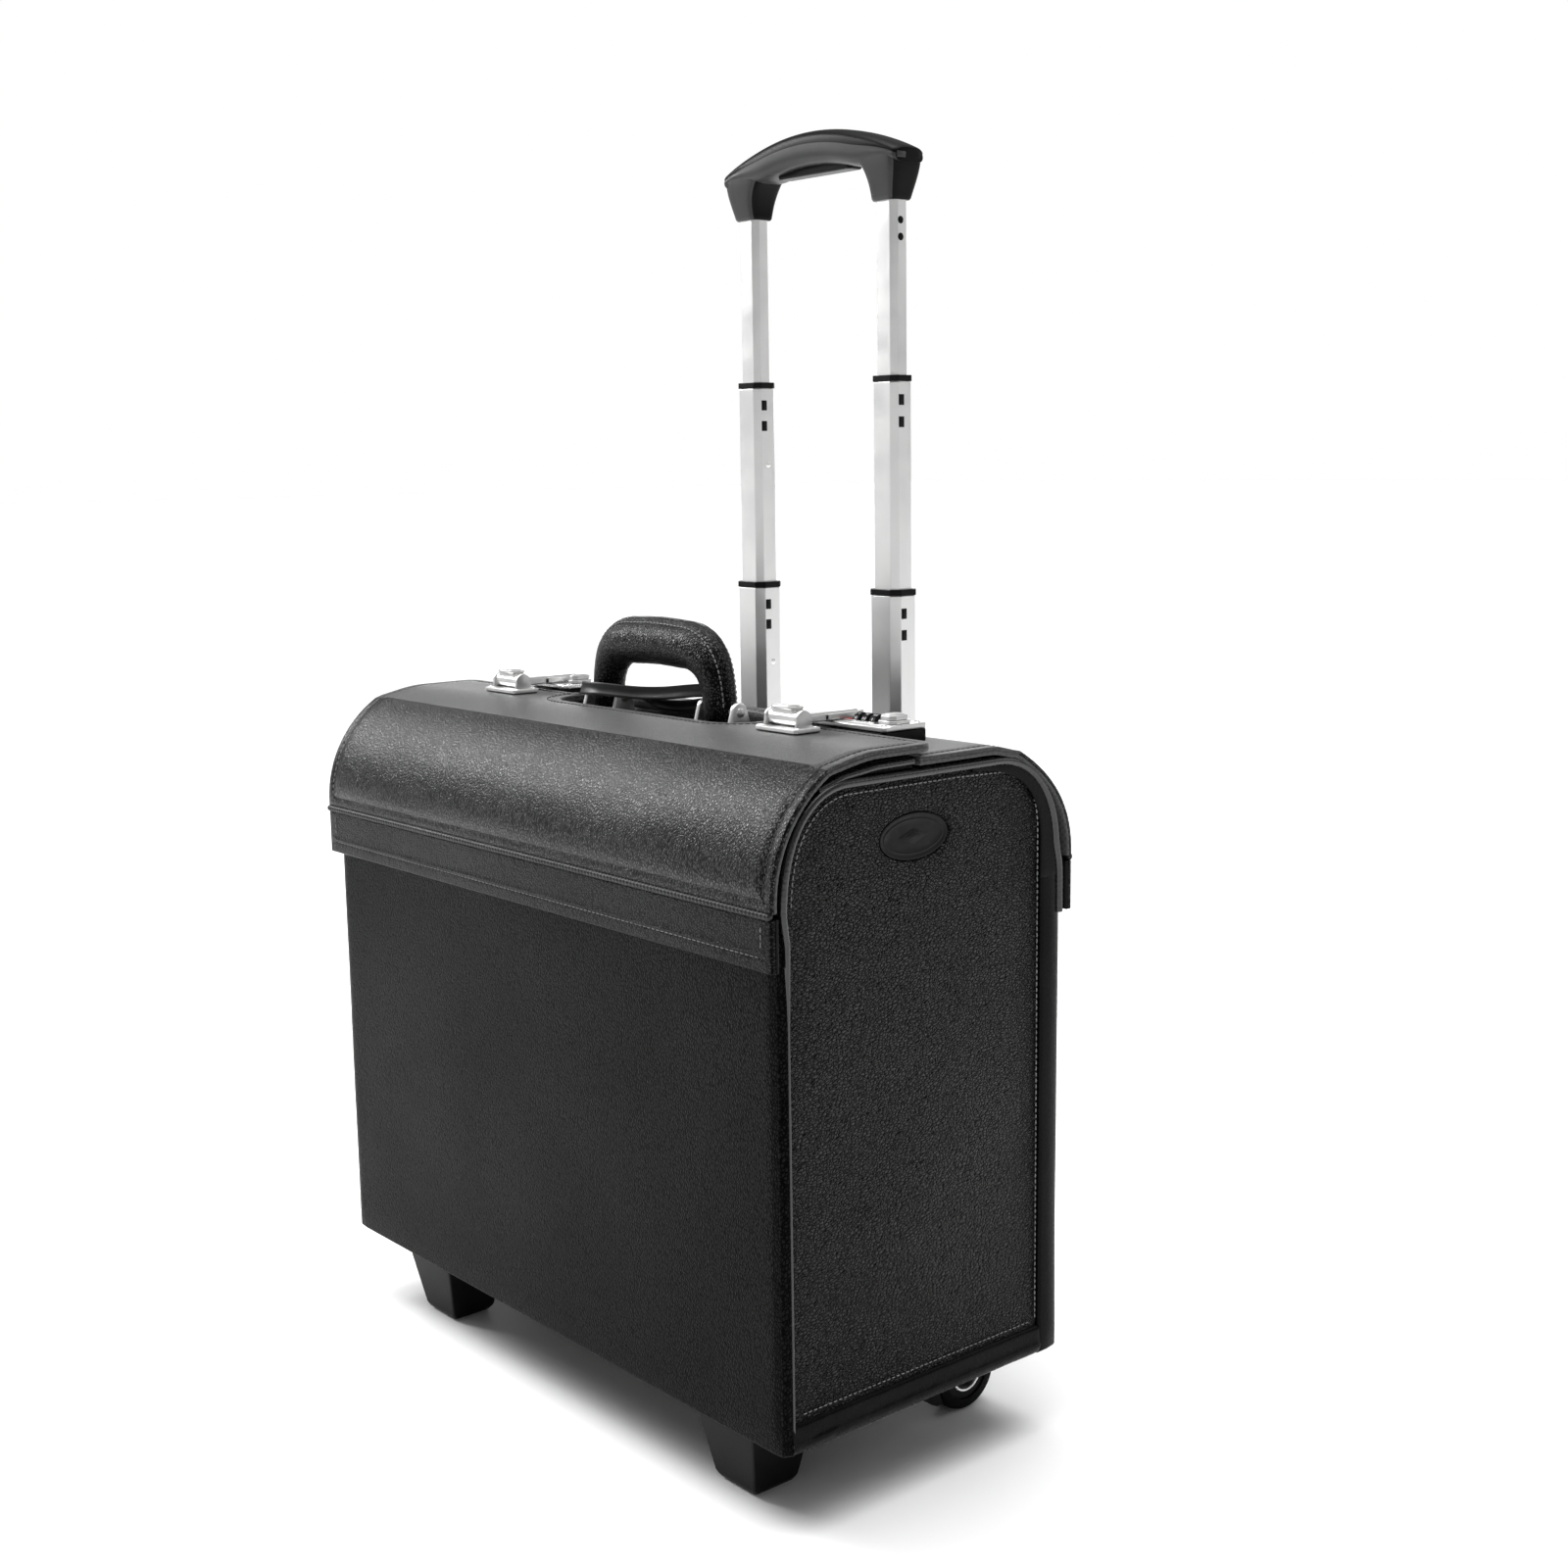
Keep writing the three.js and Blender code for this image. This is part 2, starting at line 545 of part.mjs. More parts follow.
function buildTrolley(fixed, stageGroups) {
  const plateFront = CASE_HALF_D + GAP;
  const clampFront = plateFront + 3 + GAP;
  const clampRear = TUBE_Y - STAGES[0].d / 2 - GAP;
  add(fixed, 'trolley_back_plate', box(-88, 88, plateFront, plateFront + 3, 60, 312), BLACK_PLASTIC);
  add(fixed, 'trolley_clamp_upper', box(-88, 88, clampFront, clampRear, 285, 305), BLACK_PLASTIC);
  add(fixed, 'trolley_clamp_lower', box(-88, 88, clampFront, clampRear, 66, 86), BLACK_PLASTIC);
  STAGES.forEach((stage, i) => {
    const parent = i === 0 ? fixed : stageGroups[i - 1];
    for (const [side, sign] of SIDES) {
      const place = [sign * TUBE_X, TUBE_Y, 0];
      add(parent, `trolley_${stage.name}_tube_${side}`, tube(stage), ALUMINIUM, place);
      if (i < STAGES.length - 1) {
        add(parent, `trolley_${stage.name}_collar_${side}`, collar(stage, STAGES[i + 1]),
          BLACK_PLASTIC, place);
      }
    }
  });
  const top = stageGroups[2];
  add(top, 'trolley_grip', trolleyGrip(), BLACK_PLASTIC, [0, TUBE_Y, 0]);
  add(top, 'release_bar', prismZ(roundedRect(34.8, 6.2, 3), 0, 10, 1, 4), BLACK_PLASTIC,
    [0, TUBE_Y, GRIP_Z[0] + 22.5]);
}

// ---------------------------------------------------------------- wheels and feet
// Inner cheek and front fairing of one wheel; sign is -1 on the left and +1 on the right.
function wheelHousing(sign) {
  const top = BODY_Z - GAP - WHEEL_R;
  const side = new THREE.Shape();
  side.moveTo(-52, top);
  side.bezierCurveTo(-44, 4, -38, -12, -24, -13);
  side.lineTo(6, -13);
  side.absarc(6, -3, 10, -Math.PI / 2, 0);
  side.lineTo(20, top);
  const [inner, outer] = [WHEEL_X[0] - 10, WHEEL_X[1] + 2];
  const [x0, x1] = sign > 0 ? [inner, outer] : [-outer, -inner];
  const [c0, c1] = sign > 0 ? [WHEEL_X[0] - 3, outer + 1] : [-outer - 1, -WHEEL_X[0] + 3];
  return cut(prismX(side, x0, x1), cylinderX(WHEEL_R + 2, c0, c1, 0, 0, 40),
    cylinderX(AXLE_R + GAP, x0 - 1, x1 + 1, 0, 0, 20));
}

// A block that tapers towards the floor on all four sides.
function foot() {
  const top = BODY_Z - GAP;
  const taper = (half0, half1) => polygon([[-half0, 3], [-half0 + 3, 0], [half0 - 3, 0], [half0, 3],
    [half1, top - 12], [half1, top], [-half1, top], [-half1, top - 12]]);
  return overlap(prismY(taper(18, 25), -30, 30), prismX(taper(16, 22.5), -30, 30));
}

function buildRunningGear(fixed) {
  const half = (WHEEL_X[1] - WHEEL_X[0]) / 2;
  const middle = (WHEEL_X[0] + WHEEL_X[1]) / 2;
  const rim = 17;
  for (const [side, sign] of SIDES) {
    add(fixed, `foot_${side}`, foot(), BLACK_PLASTIC, [sign * FOOT_X, FOOT_Y, 0]);
    add(fixed, `wheel_housing_${side}`, wheelHousing(sign), BLACK_PLASTIC, [0, WHEEL_Y, WHEEL_R]);
    const place = [sign * middle, WHEEL_Y, WHEEL_R];
    add(fixed, `wheel_axle_${side}`, cylinderX(AXLE_R, -19, 19, 0, 0, 20), STEEL,
      [sign * (middle - 6.5), WHEEL_Y, WHEEL_R]);
    add(fixed, `wheel_hub_${side}`, ringX([[AXLE_R + GAP, -half + 1], [rim - GAP, -half + 1],
      [rim - GAP, half - 1], [12.5, half - 1], [11.5, half - 3], [6, half - 3], [5, half - 0.5],
      [AXLE_R + GAP, half - 0.5]]).rotateZ(sign < 0 ? Math.PI : 0), ALUMINIUM, place);
    add(fixed, `wheel_tyre_${side}`, ringX([[rim, -half], [WHEEL_R - 2.5, -half],
      [WHEEL_R, -half + 3.5], [WHEEL_R, half - 3.5], [WHEEL_R - 2.5, half], [rim, half]], 36),
    RUBBER, place);
  }
}

// ---------------------------------------------------------------- assembly
const frontLid = new THREE.Group();
flightCase.add(frontLid);
const stageGroups = STAGES.slice(1).map(() => new THREE.Group());
stageGroups.reduce((parent, child) => parent.add(child) && child, flightCase);

buildShell(flightCase);
buildFixedLid(flightCase);
buildFrontFlap(frontLid);
buildCarryHandle(flightCase);
buildLatches(flightCase, frontLid);
buildTrolley(flightCase, stageGroups);
buildRunningGear(flightCase);

export default flightCase;
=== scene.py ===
"""Looks of the pilot rolling flight case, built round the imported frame.

Lengths below are millimetres in the case's own frame (front -Y, Z up); make() turns them into
metres in the frame's coordinates.
"""

import json
import math

import bmesh
import bpy
import numpy as np
from mathutils import Matrix, Vector, noise
from mathutils.geometry import delaunay_2d_cdt

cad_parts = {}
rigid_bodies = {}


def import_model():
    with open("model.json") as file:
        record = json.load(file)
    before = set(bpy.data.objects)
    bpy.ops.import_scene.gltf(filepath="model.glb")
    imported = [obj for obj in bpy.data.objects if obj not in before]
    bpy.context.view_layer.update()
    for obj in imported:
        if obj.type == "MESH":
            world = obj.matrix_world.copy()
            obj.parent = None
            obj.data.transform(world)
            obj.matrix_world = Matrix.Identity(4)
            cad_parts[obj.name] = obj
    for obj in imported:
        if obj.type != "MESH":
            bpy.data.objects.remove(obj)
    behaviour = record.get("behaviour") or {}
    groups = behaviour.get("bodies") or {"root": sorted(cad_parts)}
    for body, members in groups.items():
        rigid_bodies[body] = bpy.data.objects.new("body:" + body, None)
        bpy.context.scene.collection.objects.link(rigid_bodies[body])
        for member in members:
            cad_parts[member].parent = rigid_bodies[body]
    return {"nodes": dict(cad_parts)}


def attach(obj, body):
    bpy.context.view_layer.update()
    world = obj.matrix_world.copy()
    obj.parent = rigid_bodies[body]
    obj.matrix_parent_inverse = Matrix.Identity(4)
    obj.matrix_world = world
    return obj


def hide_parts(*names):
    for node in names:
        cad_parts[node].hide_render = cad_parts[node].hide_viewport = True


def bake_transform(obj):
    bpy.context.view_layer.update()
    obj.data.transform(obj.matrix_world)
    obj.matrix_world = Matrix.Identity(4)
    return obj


for stray in list(bpy.data.objects):
    bpy.data.objects.remove(stray)

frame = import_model()
bpy.context.view_layer.update()

# ------------------------------------------------------------------ sizes shared with the frame
SHIFT_Y = 15.75                             # case y less this is the frame's y
HALF_W, HALF_D = 230.0, 107.5               # outer faces of the body
WALL_FOOT = 50.2
END_X = 228.5                               # outer face of an end panel
FLAP_HALF_W, FLAP_Y, FLAP_T = 232.0, 113.5, 4.5
HINGE_Z = 347.0
BAND_FOOT, BAND_TOP, HEM_Z = 317.0, 345.5, 324.6
LID_Z, REAR_LID_Z, RAIL_Z = 425.0, 418.0, 405.0
HANDLE_Y = -4.0
WELL_R, WELL_HALF_L = 22.0, 95.0
WELL_END = WELL_HALF_L - WELL_R             # centre of the handle well's round end
PIN_X, PIN_Z = 58.0, 428.0                  # pins of the carry handle
LATCH_X, LATCH_Y, LATCH_Z = 141.0, -23.0, 428.3
PLATE_Z = 428.8                             # top of the lock and catch plates
LOCK_X0, LOCK_X1, LOCK_Y = 123.0, 190.0, 22.0
DIAL_X, DIAL_Z, DIAL_PITCH = LATCH_X + 19.5, 426.8, 6.8
TUBE_X, TUBE_Y = 66.0, 130.0
# Trolley tubes: outer section, top and body.
STAGES = (("base", 32, 27, 364, "case"), ("lower", 27, 22, 490, "stage_lower"),
          ("middle", 22.5, 18, 622, "stage_middle"), ("upper", 18.5, 14, 744, "stage_upper"))
GRIP_TOP = 780.0
WHEEL_X, WHEEL_Y, WHEEL_Z = 170.0, 81.0, 24.0
SIDES = (("left", -1), ("right", 1))
SEAM = 6.6                                  # sewn groove inside a flap's edge
CREASE_GAP = 1.2                            # rows of points beside a crease
ROUND = 2 * math.pi


# ------------------------------------------------------------------ materials
def feed(tree, socket, value):
    """Links an output to a socket, or sets the socket's own value."""
    if isinstance(value, bpy.types.NodeSocket):
        tree.links.new(value, socket)
    else:
        socket.default_value = value


def add_node(tree, kind, sockets=(), **settings):
    made = tree.nodes.new(kind)
    for key, value in settings.items():
        setattr(made, key, value)
    for key, value in dict(sockets).items():
        feed(tree, made.inputs[key], value)
    return made


class Shader:
    """A Principled material and short ways of adding nodes to it."""

    def __init__(self, name, colour, roughness, metallic=0.0, **sockets):
        self.material = bpy.data.materials.new(name)
        self.material.use_nodes = True
        self.tree = self.material.node_tree
        for socket, value in sockets.items():
            self.set(socket.replace("_", " "), value)
        self.set("Base Color", (*colour, 1))
        self.set("Roughness", roughness)
        self.set("Metallic", metallic)
        self.coordinates = self.node("TexCoord").outputs["Object"]
        self.plain = self.mapped((1, 1, 1))

    def set(self, socket, value):
        feed(self.tree, self.tree.nodes["Principled BSDF"].inputs[socket], value)

    def node(self, kind, sockets=(), **settings):
        return add_node(self.tree, "ShaderNode" + kind, sockets, **settings)

    def mapped(self, scale, rotation=(0, 0, 0)):
        return self.node("Mapping", {"Vector": self.coordinates, "Rotation": rotation,
                                     "Scale": scale}).outputs["Vector"]

    def noise(self, vector, scale, detail=3.0, roughness=0.5, distortion=0.0):
        return self.node("TexNoise", {"Vector": vector, "Scale": scale, "Detail": detail,
                                      "Roughness": roughness,
                                      "Distortion": distortion}).outputs["Fac"]

    def cells(self, vector, scale, feature="F1"):
        return self.node("TexVoronoi", {"Vector": vector, "Scale": scale, "Randomness": 1.0},
                         feature=feature).outputs["Distance"]

    def ramp(self, source, low, high, to_low=0.0, to_high=1.0):
        return self.node("MapRange", {"Value": source, "From Min": low, "From Max": high,
                                      "To Min": to_low, "To Max": to_high},
                         interpolation_type="SMOOTHSTEP").outputs["Result"]

    def math(self, operation, first, second):
        return self.node("Math", {0: first, 1: second}, operation=operation).outputs[0]

    def mix(self, first, share, second, other):
        """Weighted sum of two heights."""
        return self.math("ADD", self.math("MULTIPLY", first, share),
                         self.math("MULTIPLY", second, other))

    def colours(self, factor, low, high, socket="Base Color"):
        made = self.node("Mix", {0: factor, 6: (*low, 1), 7: (*high, 1)}, data_type="RGBA")
        self.set(socket, made.outputs[2])

    def bump(self, height, distance, strength=1.0):
        self.set("Normal", self.node("Bump", {"Height": height, "Distance": distance,
                                              "Strength": strength}).outputs["Normal"])


def grey(value):
    return (value, value, value * 1.02)


def leather(name, cell, stretch, turn, depth, low, high, rough, shine, crease=0.35, **sockets):
    """Pebbled leather: grains of about `cell` metres, drawn out along one turned axis. The
    valleys between the grains get a darker colour and a dark specular tint: painted shade
    in the hollows of the grain."""
    s = Shader(name, grey(low), rough[0], Specular_IOR_Level=shine, **sockets)
    grain_space = s.mapped(stretch, turn)
    warp = s.node("VectorMath", {0: s.noise(s.plain, 90, 2), 1: (0.004, 0.004, 0.004),
                                 2: grain_space}, operation="MULTIPLY_ADD").outputs[0]
    valley = s.ramp(s.cells(warp, 1 / cell, "DISTANCE_TO_EDGE"), 0.0, 0.32)
    dome = s.ramp(s.cells(warp, 1 / cell), 0.1, 0.95, 1.0, 0.0)
    fine = s.noise(grain_space, 2.2 / cell, 4, 0.6)
    broad = s.noise(s.plain, 9, 3)
    height = s.math("ADD", s.math("MULTIPLY", valley, 0.65), s.mix(dome, 0.25, fine, 0.22))
    s.bump(height, depth, crease * 2)
    # Painted shade: the grain valleys get the darker colour, which a broad random tone varies.
    s.colours(s.math("MULTIPLY", valley, s.ramp(broad, 0.3, 0.7, 0.7, 1.0)), grey(low), grey(high))
    # Painted shade: specular tint near black in the valleys and white on the domes, as if the
    # hollows were occluded.
    s.colours(s.ramp(height, 0.50, 1.02), (0.04,) * 3, (1, 1, 1), "Specular Tint")
    s.set("Roughness", s.ramp(s.mix(fine, 0.5, broad, 0.5), 0.3, 0.72, *rough))
    return s.material


def trim_leather(name, low, high, rough, wrinkle=0.0002, shine=0.17):
    """Smooth, glossier leather of bindings, piping and straps."""
    s = Shader(name, grey(low), rough[0], Specular_IOR_Level=shine)
    pores = s.noise(s.plain, 1500, 3, 0.6)
    folds = s.noise(s.mapped((1, 1.6, 1)), 130, 4, 0.62, 0.6)
    s.bump(s.mix(pores, 0.25, folds, 0.75), wrinkle * 2, 0.5)
    s.colours(s.ramp(s.noise(s.plain, 22, 3), 0.3, 0.7), grey(low), grey(high))
    s.set("Roughness", s.ramp(folds, 0.3, 0.7, *rough))
    return s.material


def metal(name, value, rough, grain=(1, 1, 1), depth=0.00002):
    """Plated or anodised metal; `grain` draws out fine lines along one axis."""
    s = Shader(name, (value, value, value * 0.985), rough, 1.0)
    lines = s.noise(s.mapped(grain), 900, 4, 0.65)
    smudge = s.noise(s.plain, 60, 3)
    s.bump(lines, depth, 0.15)
    s.set("Roughness", s.ramp(s.mix(lines, 0.4, smudge, 0.6), 0.3, 0.7, rough * 0.9, rough * 1.15))
    s.colours(s.ramp(smudge, 0.35, 0.7), (value * 0.97,) * 3, (value, value, value * 0.99))
    return s.material


def plastic(name, value, rough, depth=0.00005, scale=1800, shine=0.18):
    """Moulded plastic with a fine spark texture."""
    s = Shader(name, grey(value), rough, Specular_IOR_Level=shine)
    spark = s.noise(s.plain, scale, 2, 0.5)
    s.bump(spark, depth, 0.4)
    s.colours(s.ramp(s.noise(s.plain, 30, 3), 0.3, 0.7), grey(value * 0.8), grey(value * 1.15))
    s.set("Roughness", s.ramp(spark, 0.3, 0.7, rough * 0.85, rough * 1.15))
    return s.material


def fabric(name, value, pitch=0.0011):
    """Woven lining cloth."""
    s = Shader(name, grey(value), 0.9, Sheen_Weight=0.25, Sheen_Roughness=0.5)
    weave = s.math("MAXIMUM", *(
        s.node("TexWave", {"Vector": s.mapped((1, 1, 1), turn), "Scale": 0.16 / pitch,
                           "Distortion": 0.6}, wave_type="BANDS",
               bands_direction="DIAGONAL").outputs["Fac"]
        for turn in ((0, 0, 0), (0, math.pi / 2, math.pi / 2))))
    s.bump(weave, 0.00015, 0.6)
    s.colours(s.math("MULTIPLY", weave, s.ramp(s.noise(s.plain, 14, 3), 0.3, 0.7, 0.75, 1.0)),
              grey(value * 0.5), grey(value * 1.3))
    return s.material


def paint(name, colour):
    s = Shader(name, colour, 0.5)
    s.bump(s.noise(s.plain, 2500), 0.00002, 0.3)
    return s.material


FACE = leather("leather_face", 0.0018, (1.25, 1.0, 0.75), (0.0, 0.25, 0.0), 0.00060,
               0.0012, 0.005, (0.36, 0.48), 0.06)
CREST = leather("leather_crest", 0.0017, (1.2, 1.0, 0.8), (0.0, -0.15, 0.1), 0.00026,
                0.002, 0.005, (0.32, 0.42), 0.75)
BAND = leather("leather_band", 0.0017, (0.8, 0.9, 1.35), (0.0, -0.15, 0.1), 0.00034,
               0.0015, 0.005, (0.34, 0.46), 0.19)
# Lid-top leather: the flaps' leather with a much lighter base colour, a painted sheen for grazing
# light on the level top, on top of the shader's own sheen lobe.
TOP_PAINTED_SHEEN = leather("leather_top_painted_sheen", 0.0016, (1.0, 1.3, 1.0), (0.0, 0.0, 0.5), 0.00026,
              0.026, 0.052, (0.40, 0.50), 0.37, 0.25, Sheen_Weight=0.35, Sheen_Roughness=0.4)
END = leather("leather_end", 0.0019, (1.0, 0.75, 1.3), (0.55, 0.0, 0.0), 0.00100,
              0.0008, 0.006, (0.24, 0.38), 0.30, 0.5)
WRAP = leather("leather_handle", 0.0015, (1.0, 1.1, 0.8), (0.2, 0.3, 0.0), 0.00040,
               0.002, 0.006, (0.26, 0.38), 0.59)
TRIM = trim_leather("leather_trim", 0.002, 0.004, (0.20, 0.32), 0.0002, 0.06)
BEAD = trim_leather("leather_bead", 0.005, 0.010, (0.20, 0.30), 0.00010, 0.60)
STRAP = trim_leather("leather_strap", 0.006, 0.012, (0.34, 0.46), 0.00015, 0.30)
PRESSED = trim_leather("leather_pressed", 0.002, 0.004, (0.42, 0.55), 0.00010)
LINING = fabric("lining", 0.035)
NICKEL = metal("nickel", 0.82, 0.27, depth=0.000006)
NICKEL_DULL = metal("nickel_satin", 0.70, 0.36, depth=0.000006)
ALUMINIUM = metal("aluminium", 0.74, 0.34, (1, 1, 0.02), 0.000004)
STEEL = metal("steel", 0.55, 0.30, (0.03, 1, 1))
BLACK = plastic("black_plastic", 0.004, 0.42, shine=0.10)
BLACK_GLOSS = plastic("black_plastic_grip", 0.003, 0.36, 0.00003, shine=0.08)
GREY_GLOSS = plastic("grey_plastic_grip", 0.028, 0.40, 0.00004, shine=0.26)
SOFT = plastic("black_rubber", 0.004, 0.70, 0.00012, 900, 0.08)
THREAD = plastic("thread_grey", 0.20, 0.75, 0.00010, 4000)
THREAD_DARK = plastic("thread_dark", 0.055, 0.70, 0.00010, 4000)
MARK = plastic("mark_white", 0.55, 0.60)
RED = paint("mark_red", (0.45, 0.03, 0.02))


# ------------------------------------------------------------------ lines and outlines
def unit(v):
    return v / np.linalg.norm(v)


def stack(*columns):
    return np.stack(columns, 1)


def angles(n):
    return np.linspace(0, ROUND, n, endpoint=False)


def lengths(points):
    """Length along a polyline at each of its points."""
    return np.concatenate([[0], np.cumsum(np.linalg.norm(np.diff(points, axis=0), axis=1))])


def between(at, s, rows):
    return np.stack([np.interp(at, s, rows[:, k]) for k in range(rows.shape[1])], -1)


def walk(points, step):
    """Points at even steps along a polyline, ends kept."""
    p = np.array(points, float)
    s = lengths(p)
    return between(np.linspace(0, s[-1], max(2, round(s[-1] / step) + 1)), s, p)


class Line2:
    """A plane polyline with a place and a side normal for every length along it."""

    def __init__(self, points, flip=1):
        self.p = np.array(points, float)
        self.s = lengths(self.p)
        tangent = np.gradient(self.p, self.s, axis=0)
        tangent /= np.linalg.norm(tangent, axis=1)[:, None]
        self.n = stack(-tangent[:, 1], tangent[:, 0]) * flip
        self.length = self.s[-1]

    def at(self, s, h):
        n = between(s, self.s, self.n)
        n /= np.linalg.norm(n, axis=-1)[..., None]
        return between(s, self.s, self.p) + n * np.asarray(h, float)[..., None]

    def where(self, axis, value):
        """Length at which the coordinate on this axis last crosses the value."""
        side = self.p[:, axis] - value
        i = np.nonzero(side[:-1] * side[1:] <= 0)[0][-1]
        part = side[i] / (side[i] - side[i + 1])
        return self.s[i] + part * (self.s[i + 1] - self.s[i])


def bezier(a, b, c, d, n=24):
    t = np.linspace(0, 1, n + 1)[:, None]
    a, b, c, d = (np.array(q, float) for q in (a, b, c, d))
    return a * (1 - t) ** 3 + 3 * b * (1 - t) ** 2 * t + 3 * c * (1 - t) * t ** 2 + d * t ** 3


def arc(cx, cy, r, start, end, n=10):
    t = np.radians(np.linspace(start, end, n + 1))
    return stack(cx + r * np.cos(t), cy + r * np.sin(t))


def circle(r, n=12):
    return stack(r * np.cos(angles(n)), r * np.sin(angles(n)))


def rect(x0, y0, x1, y1):
    return np.array([(x0, y0), (x1, y0), (x1, y1), (x0, y1)], float)


def chain(*parts):
    """Joins runs of points, dropping repeats."""
    points = np.concatenate([np.array(p, float).reshape(-1, 2) for p in parts])
    keep = [0] + [i for i in range(1, len(points))
                  if np.linalg.norm(points[i] - points[i - 1]) > 1e-3]
    points = points[keep]
    return points[:-1] if np.linalg.norm(points[0] - points[-1]) < 1e-3 else points


def left(loop):
    """The outline run so that its inside is on the left."""
    area = np.sum(loop[:, 0] * np.roll(loop[:, 1], -1) - np.roll(loop[:, 0], -1) * loop[:, 1])
    return loop if area > 0 else loop[::-1]


def spread(loop, step):
    """Closed outline, its inside on the left, with no edge longer than step."""
    loop, out = left(loop), []
    for a, b in zip(loop, np.roll(loop, -1, axis=0)):
        n = max(1, math.ceil(np.linalg.norm(b - a) / step - 1e-6))
        out.extend(a + (b - a) * i / n for i in range(n))
    return np.array(out)


def inset(loop, d):
    """Moves a closed outline to its left by d, mitred."""
    ahead = np.roll(loop, -1, axis=0) - loop
    ahead /= np.linalg.norm(ahead, axis=1)[:, None]
    n1 = stack(-ahead[:, 1], ahead[:, 0])
    n0 = np.roll(n1, 1, axis=0)
    scale = np.maximum(1 + np.sum(n0 * n1, axis=1), 0.35)
    return loop + (n0 + n1) / scale[:, None] * d


def inside(points, loops):
    """Which points lie in the first outline and in none of the others, its holes."""
    x, y = points[:, 0:1], points[:, 1:2]
    found = []
    for loop in loops:
        x0, y0 = loop[:, 0], loop[:, 1]
        x1, y1 = np.roll(x0, -1), np.roll(y0, -1)
        crosses = (y0 > y) != (y1 > y)
        with np.errstate(divide="ignore", invalid="ignore"):
            at = (x1 - x0) * (y - y0) / (y1 - y0) + x0
        found.append(np.sum(crosses & (x < at), axis=1) % 2 == 1)
    return found[0] & ~np.any(found[1:], axis=0) if len(found) > 1 else found[0]


# ------------------------------------------------------------------ mesh helpers
def show(name, data):
    shown = bpy.data.objects.new(name, data)
    bpy.context.scene.collection.objects.link(shown)
    return shown


def make(name, verts, faces, materials, body, slot, stands_for=(), chosen=None, sharp=38):
    """A mesh piece from points in millimetres, closed, smooth up to `sharp` degrees."""
    mesh = bpy.data.meshes.new(name)
    points = np.array(verts, float)
    points[:, 1] -= SHIFT_Y
    mesh.from_pydata((points * 0.001).tolist(), [], faces)
    for m in materials:
        mesh.materials.append(m)
    if chosen is not None:
        mesh.polygons.foreach_set("material_index", np.array(chosen, np.int32))
    work = bmesh.new()
    work.from_mesh(mesh)
    bmesh.ops.recalc_face_normals(work, faces=work.faces)
    work.to_mesh(mesh)
    work.free()
    mesh.polygons.foreach_set("use_smooth", [True] * len(mesh.polygons))
    mesh.set_sharp_from_angle(angle=math.radians(sharp))
    piece = show(name, mesh)
    if stands_for:
        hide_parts(*stands_for)
    if body == "strap":
        # The loose strap follows the handle's leg only part of the way.
        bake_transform(piece)
    else:
        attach(piece, body)
    return piece


def edge(t, r, wall=(), seam=(), steps=3):
    """Rings (inset, height) from the lining face round the edge of a sheet t thick."""
    turn = np.radians(np.linspace(0, 90, steps + 1))
    under = [(r * (1 - math.sin(a)), -t + r * (1 - math.cos(a))) for a in turn]
    over = [(r * (1 - math.cos(a)), -r + r * math.sin(a)) for a in turn]
    return under + list(wall) + over + list(seam)


def groove(at, depth, half=0.9):
    """Rings of a sewn groove, `at` inside the edge of a sheet."""
    return [(at - half, 0.0), (at - 0.35, -depth), (at + 0.35, -depth), (at + half, 0.0)]


def skin(count, n, caps=True):
    """Faces that join `count` rings of n points each, and close both ends."""
    faces = [[k * n + i, k * n + (i + 1) % n, (k + 1) * n + (i + 1) % n, (k + 1) * n + i]
             for k in range(count - 1) for i in range(n)]
    if caps:
        faces += [list(range(n))[::-1], [(count - 1) * n + i for i in range(n)]]
    return faces


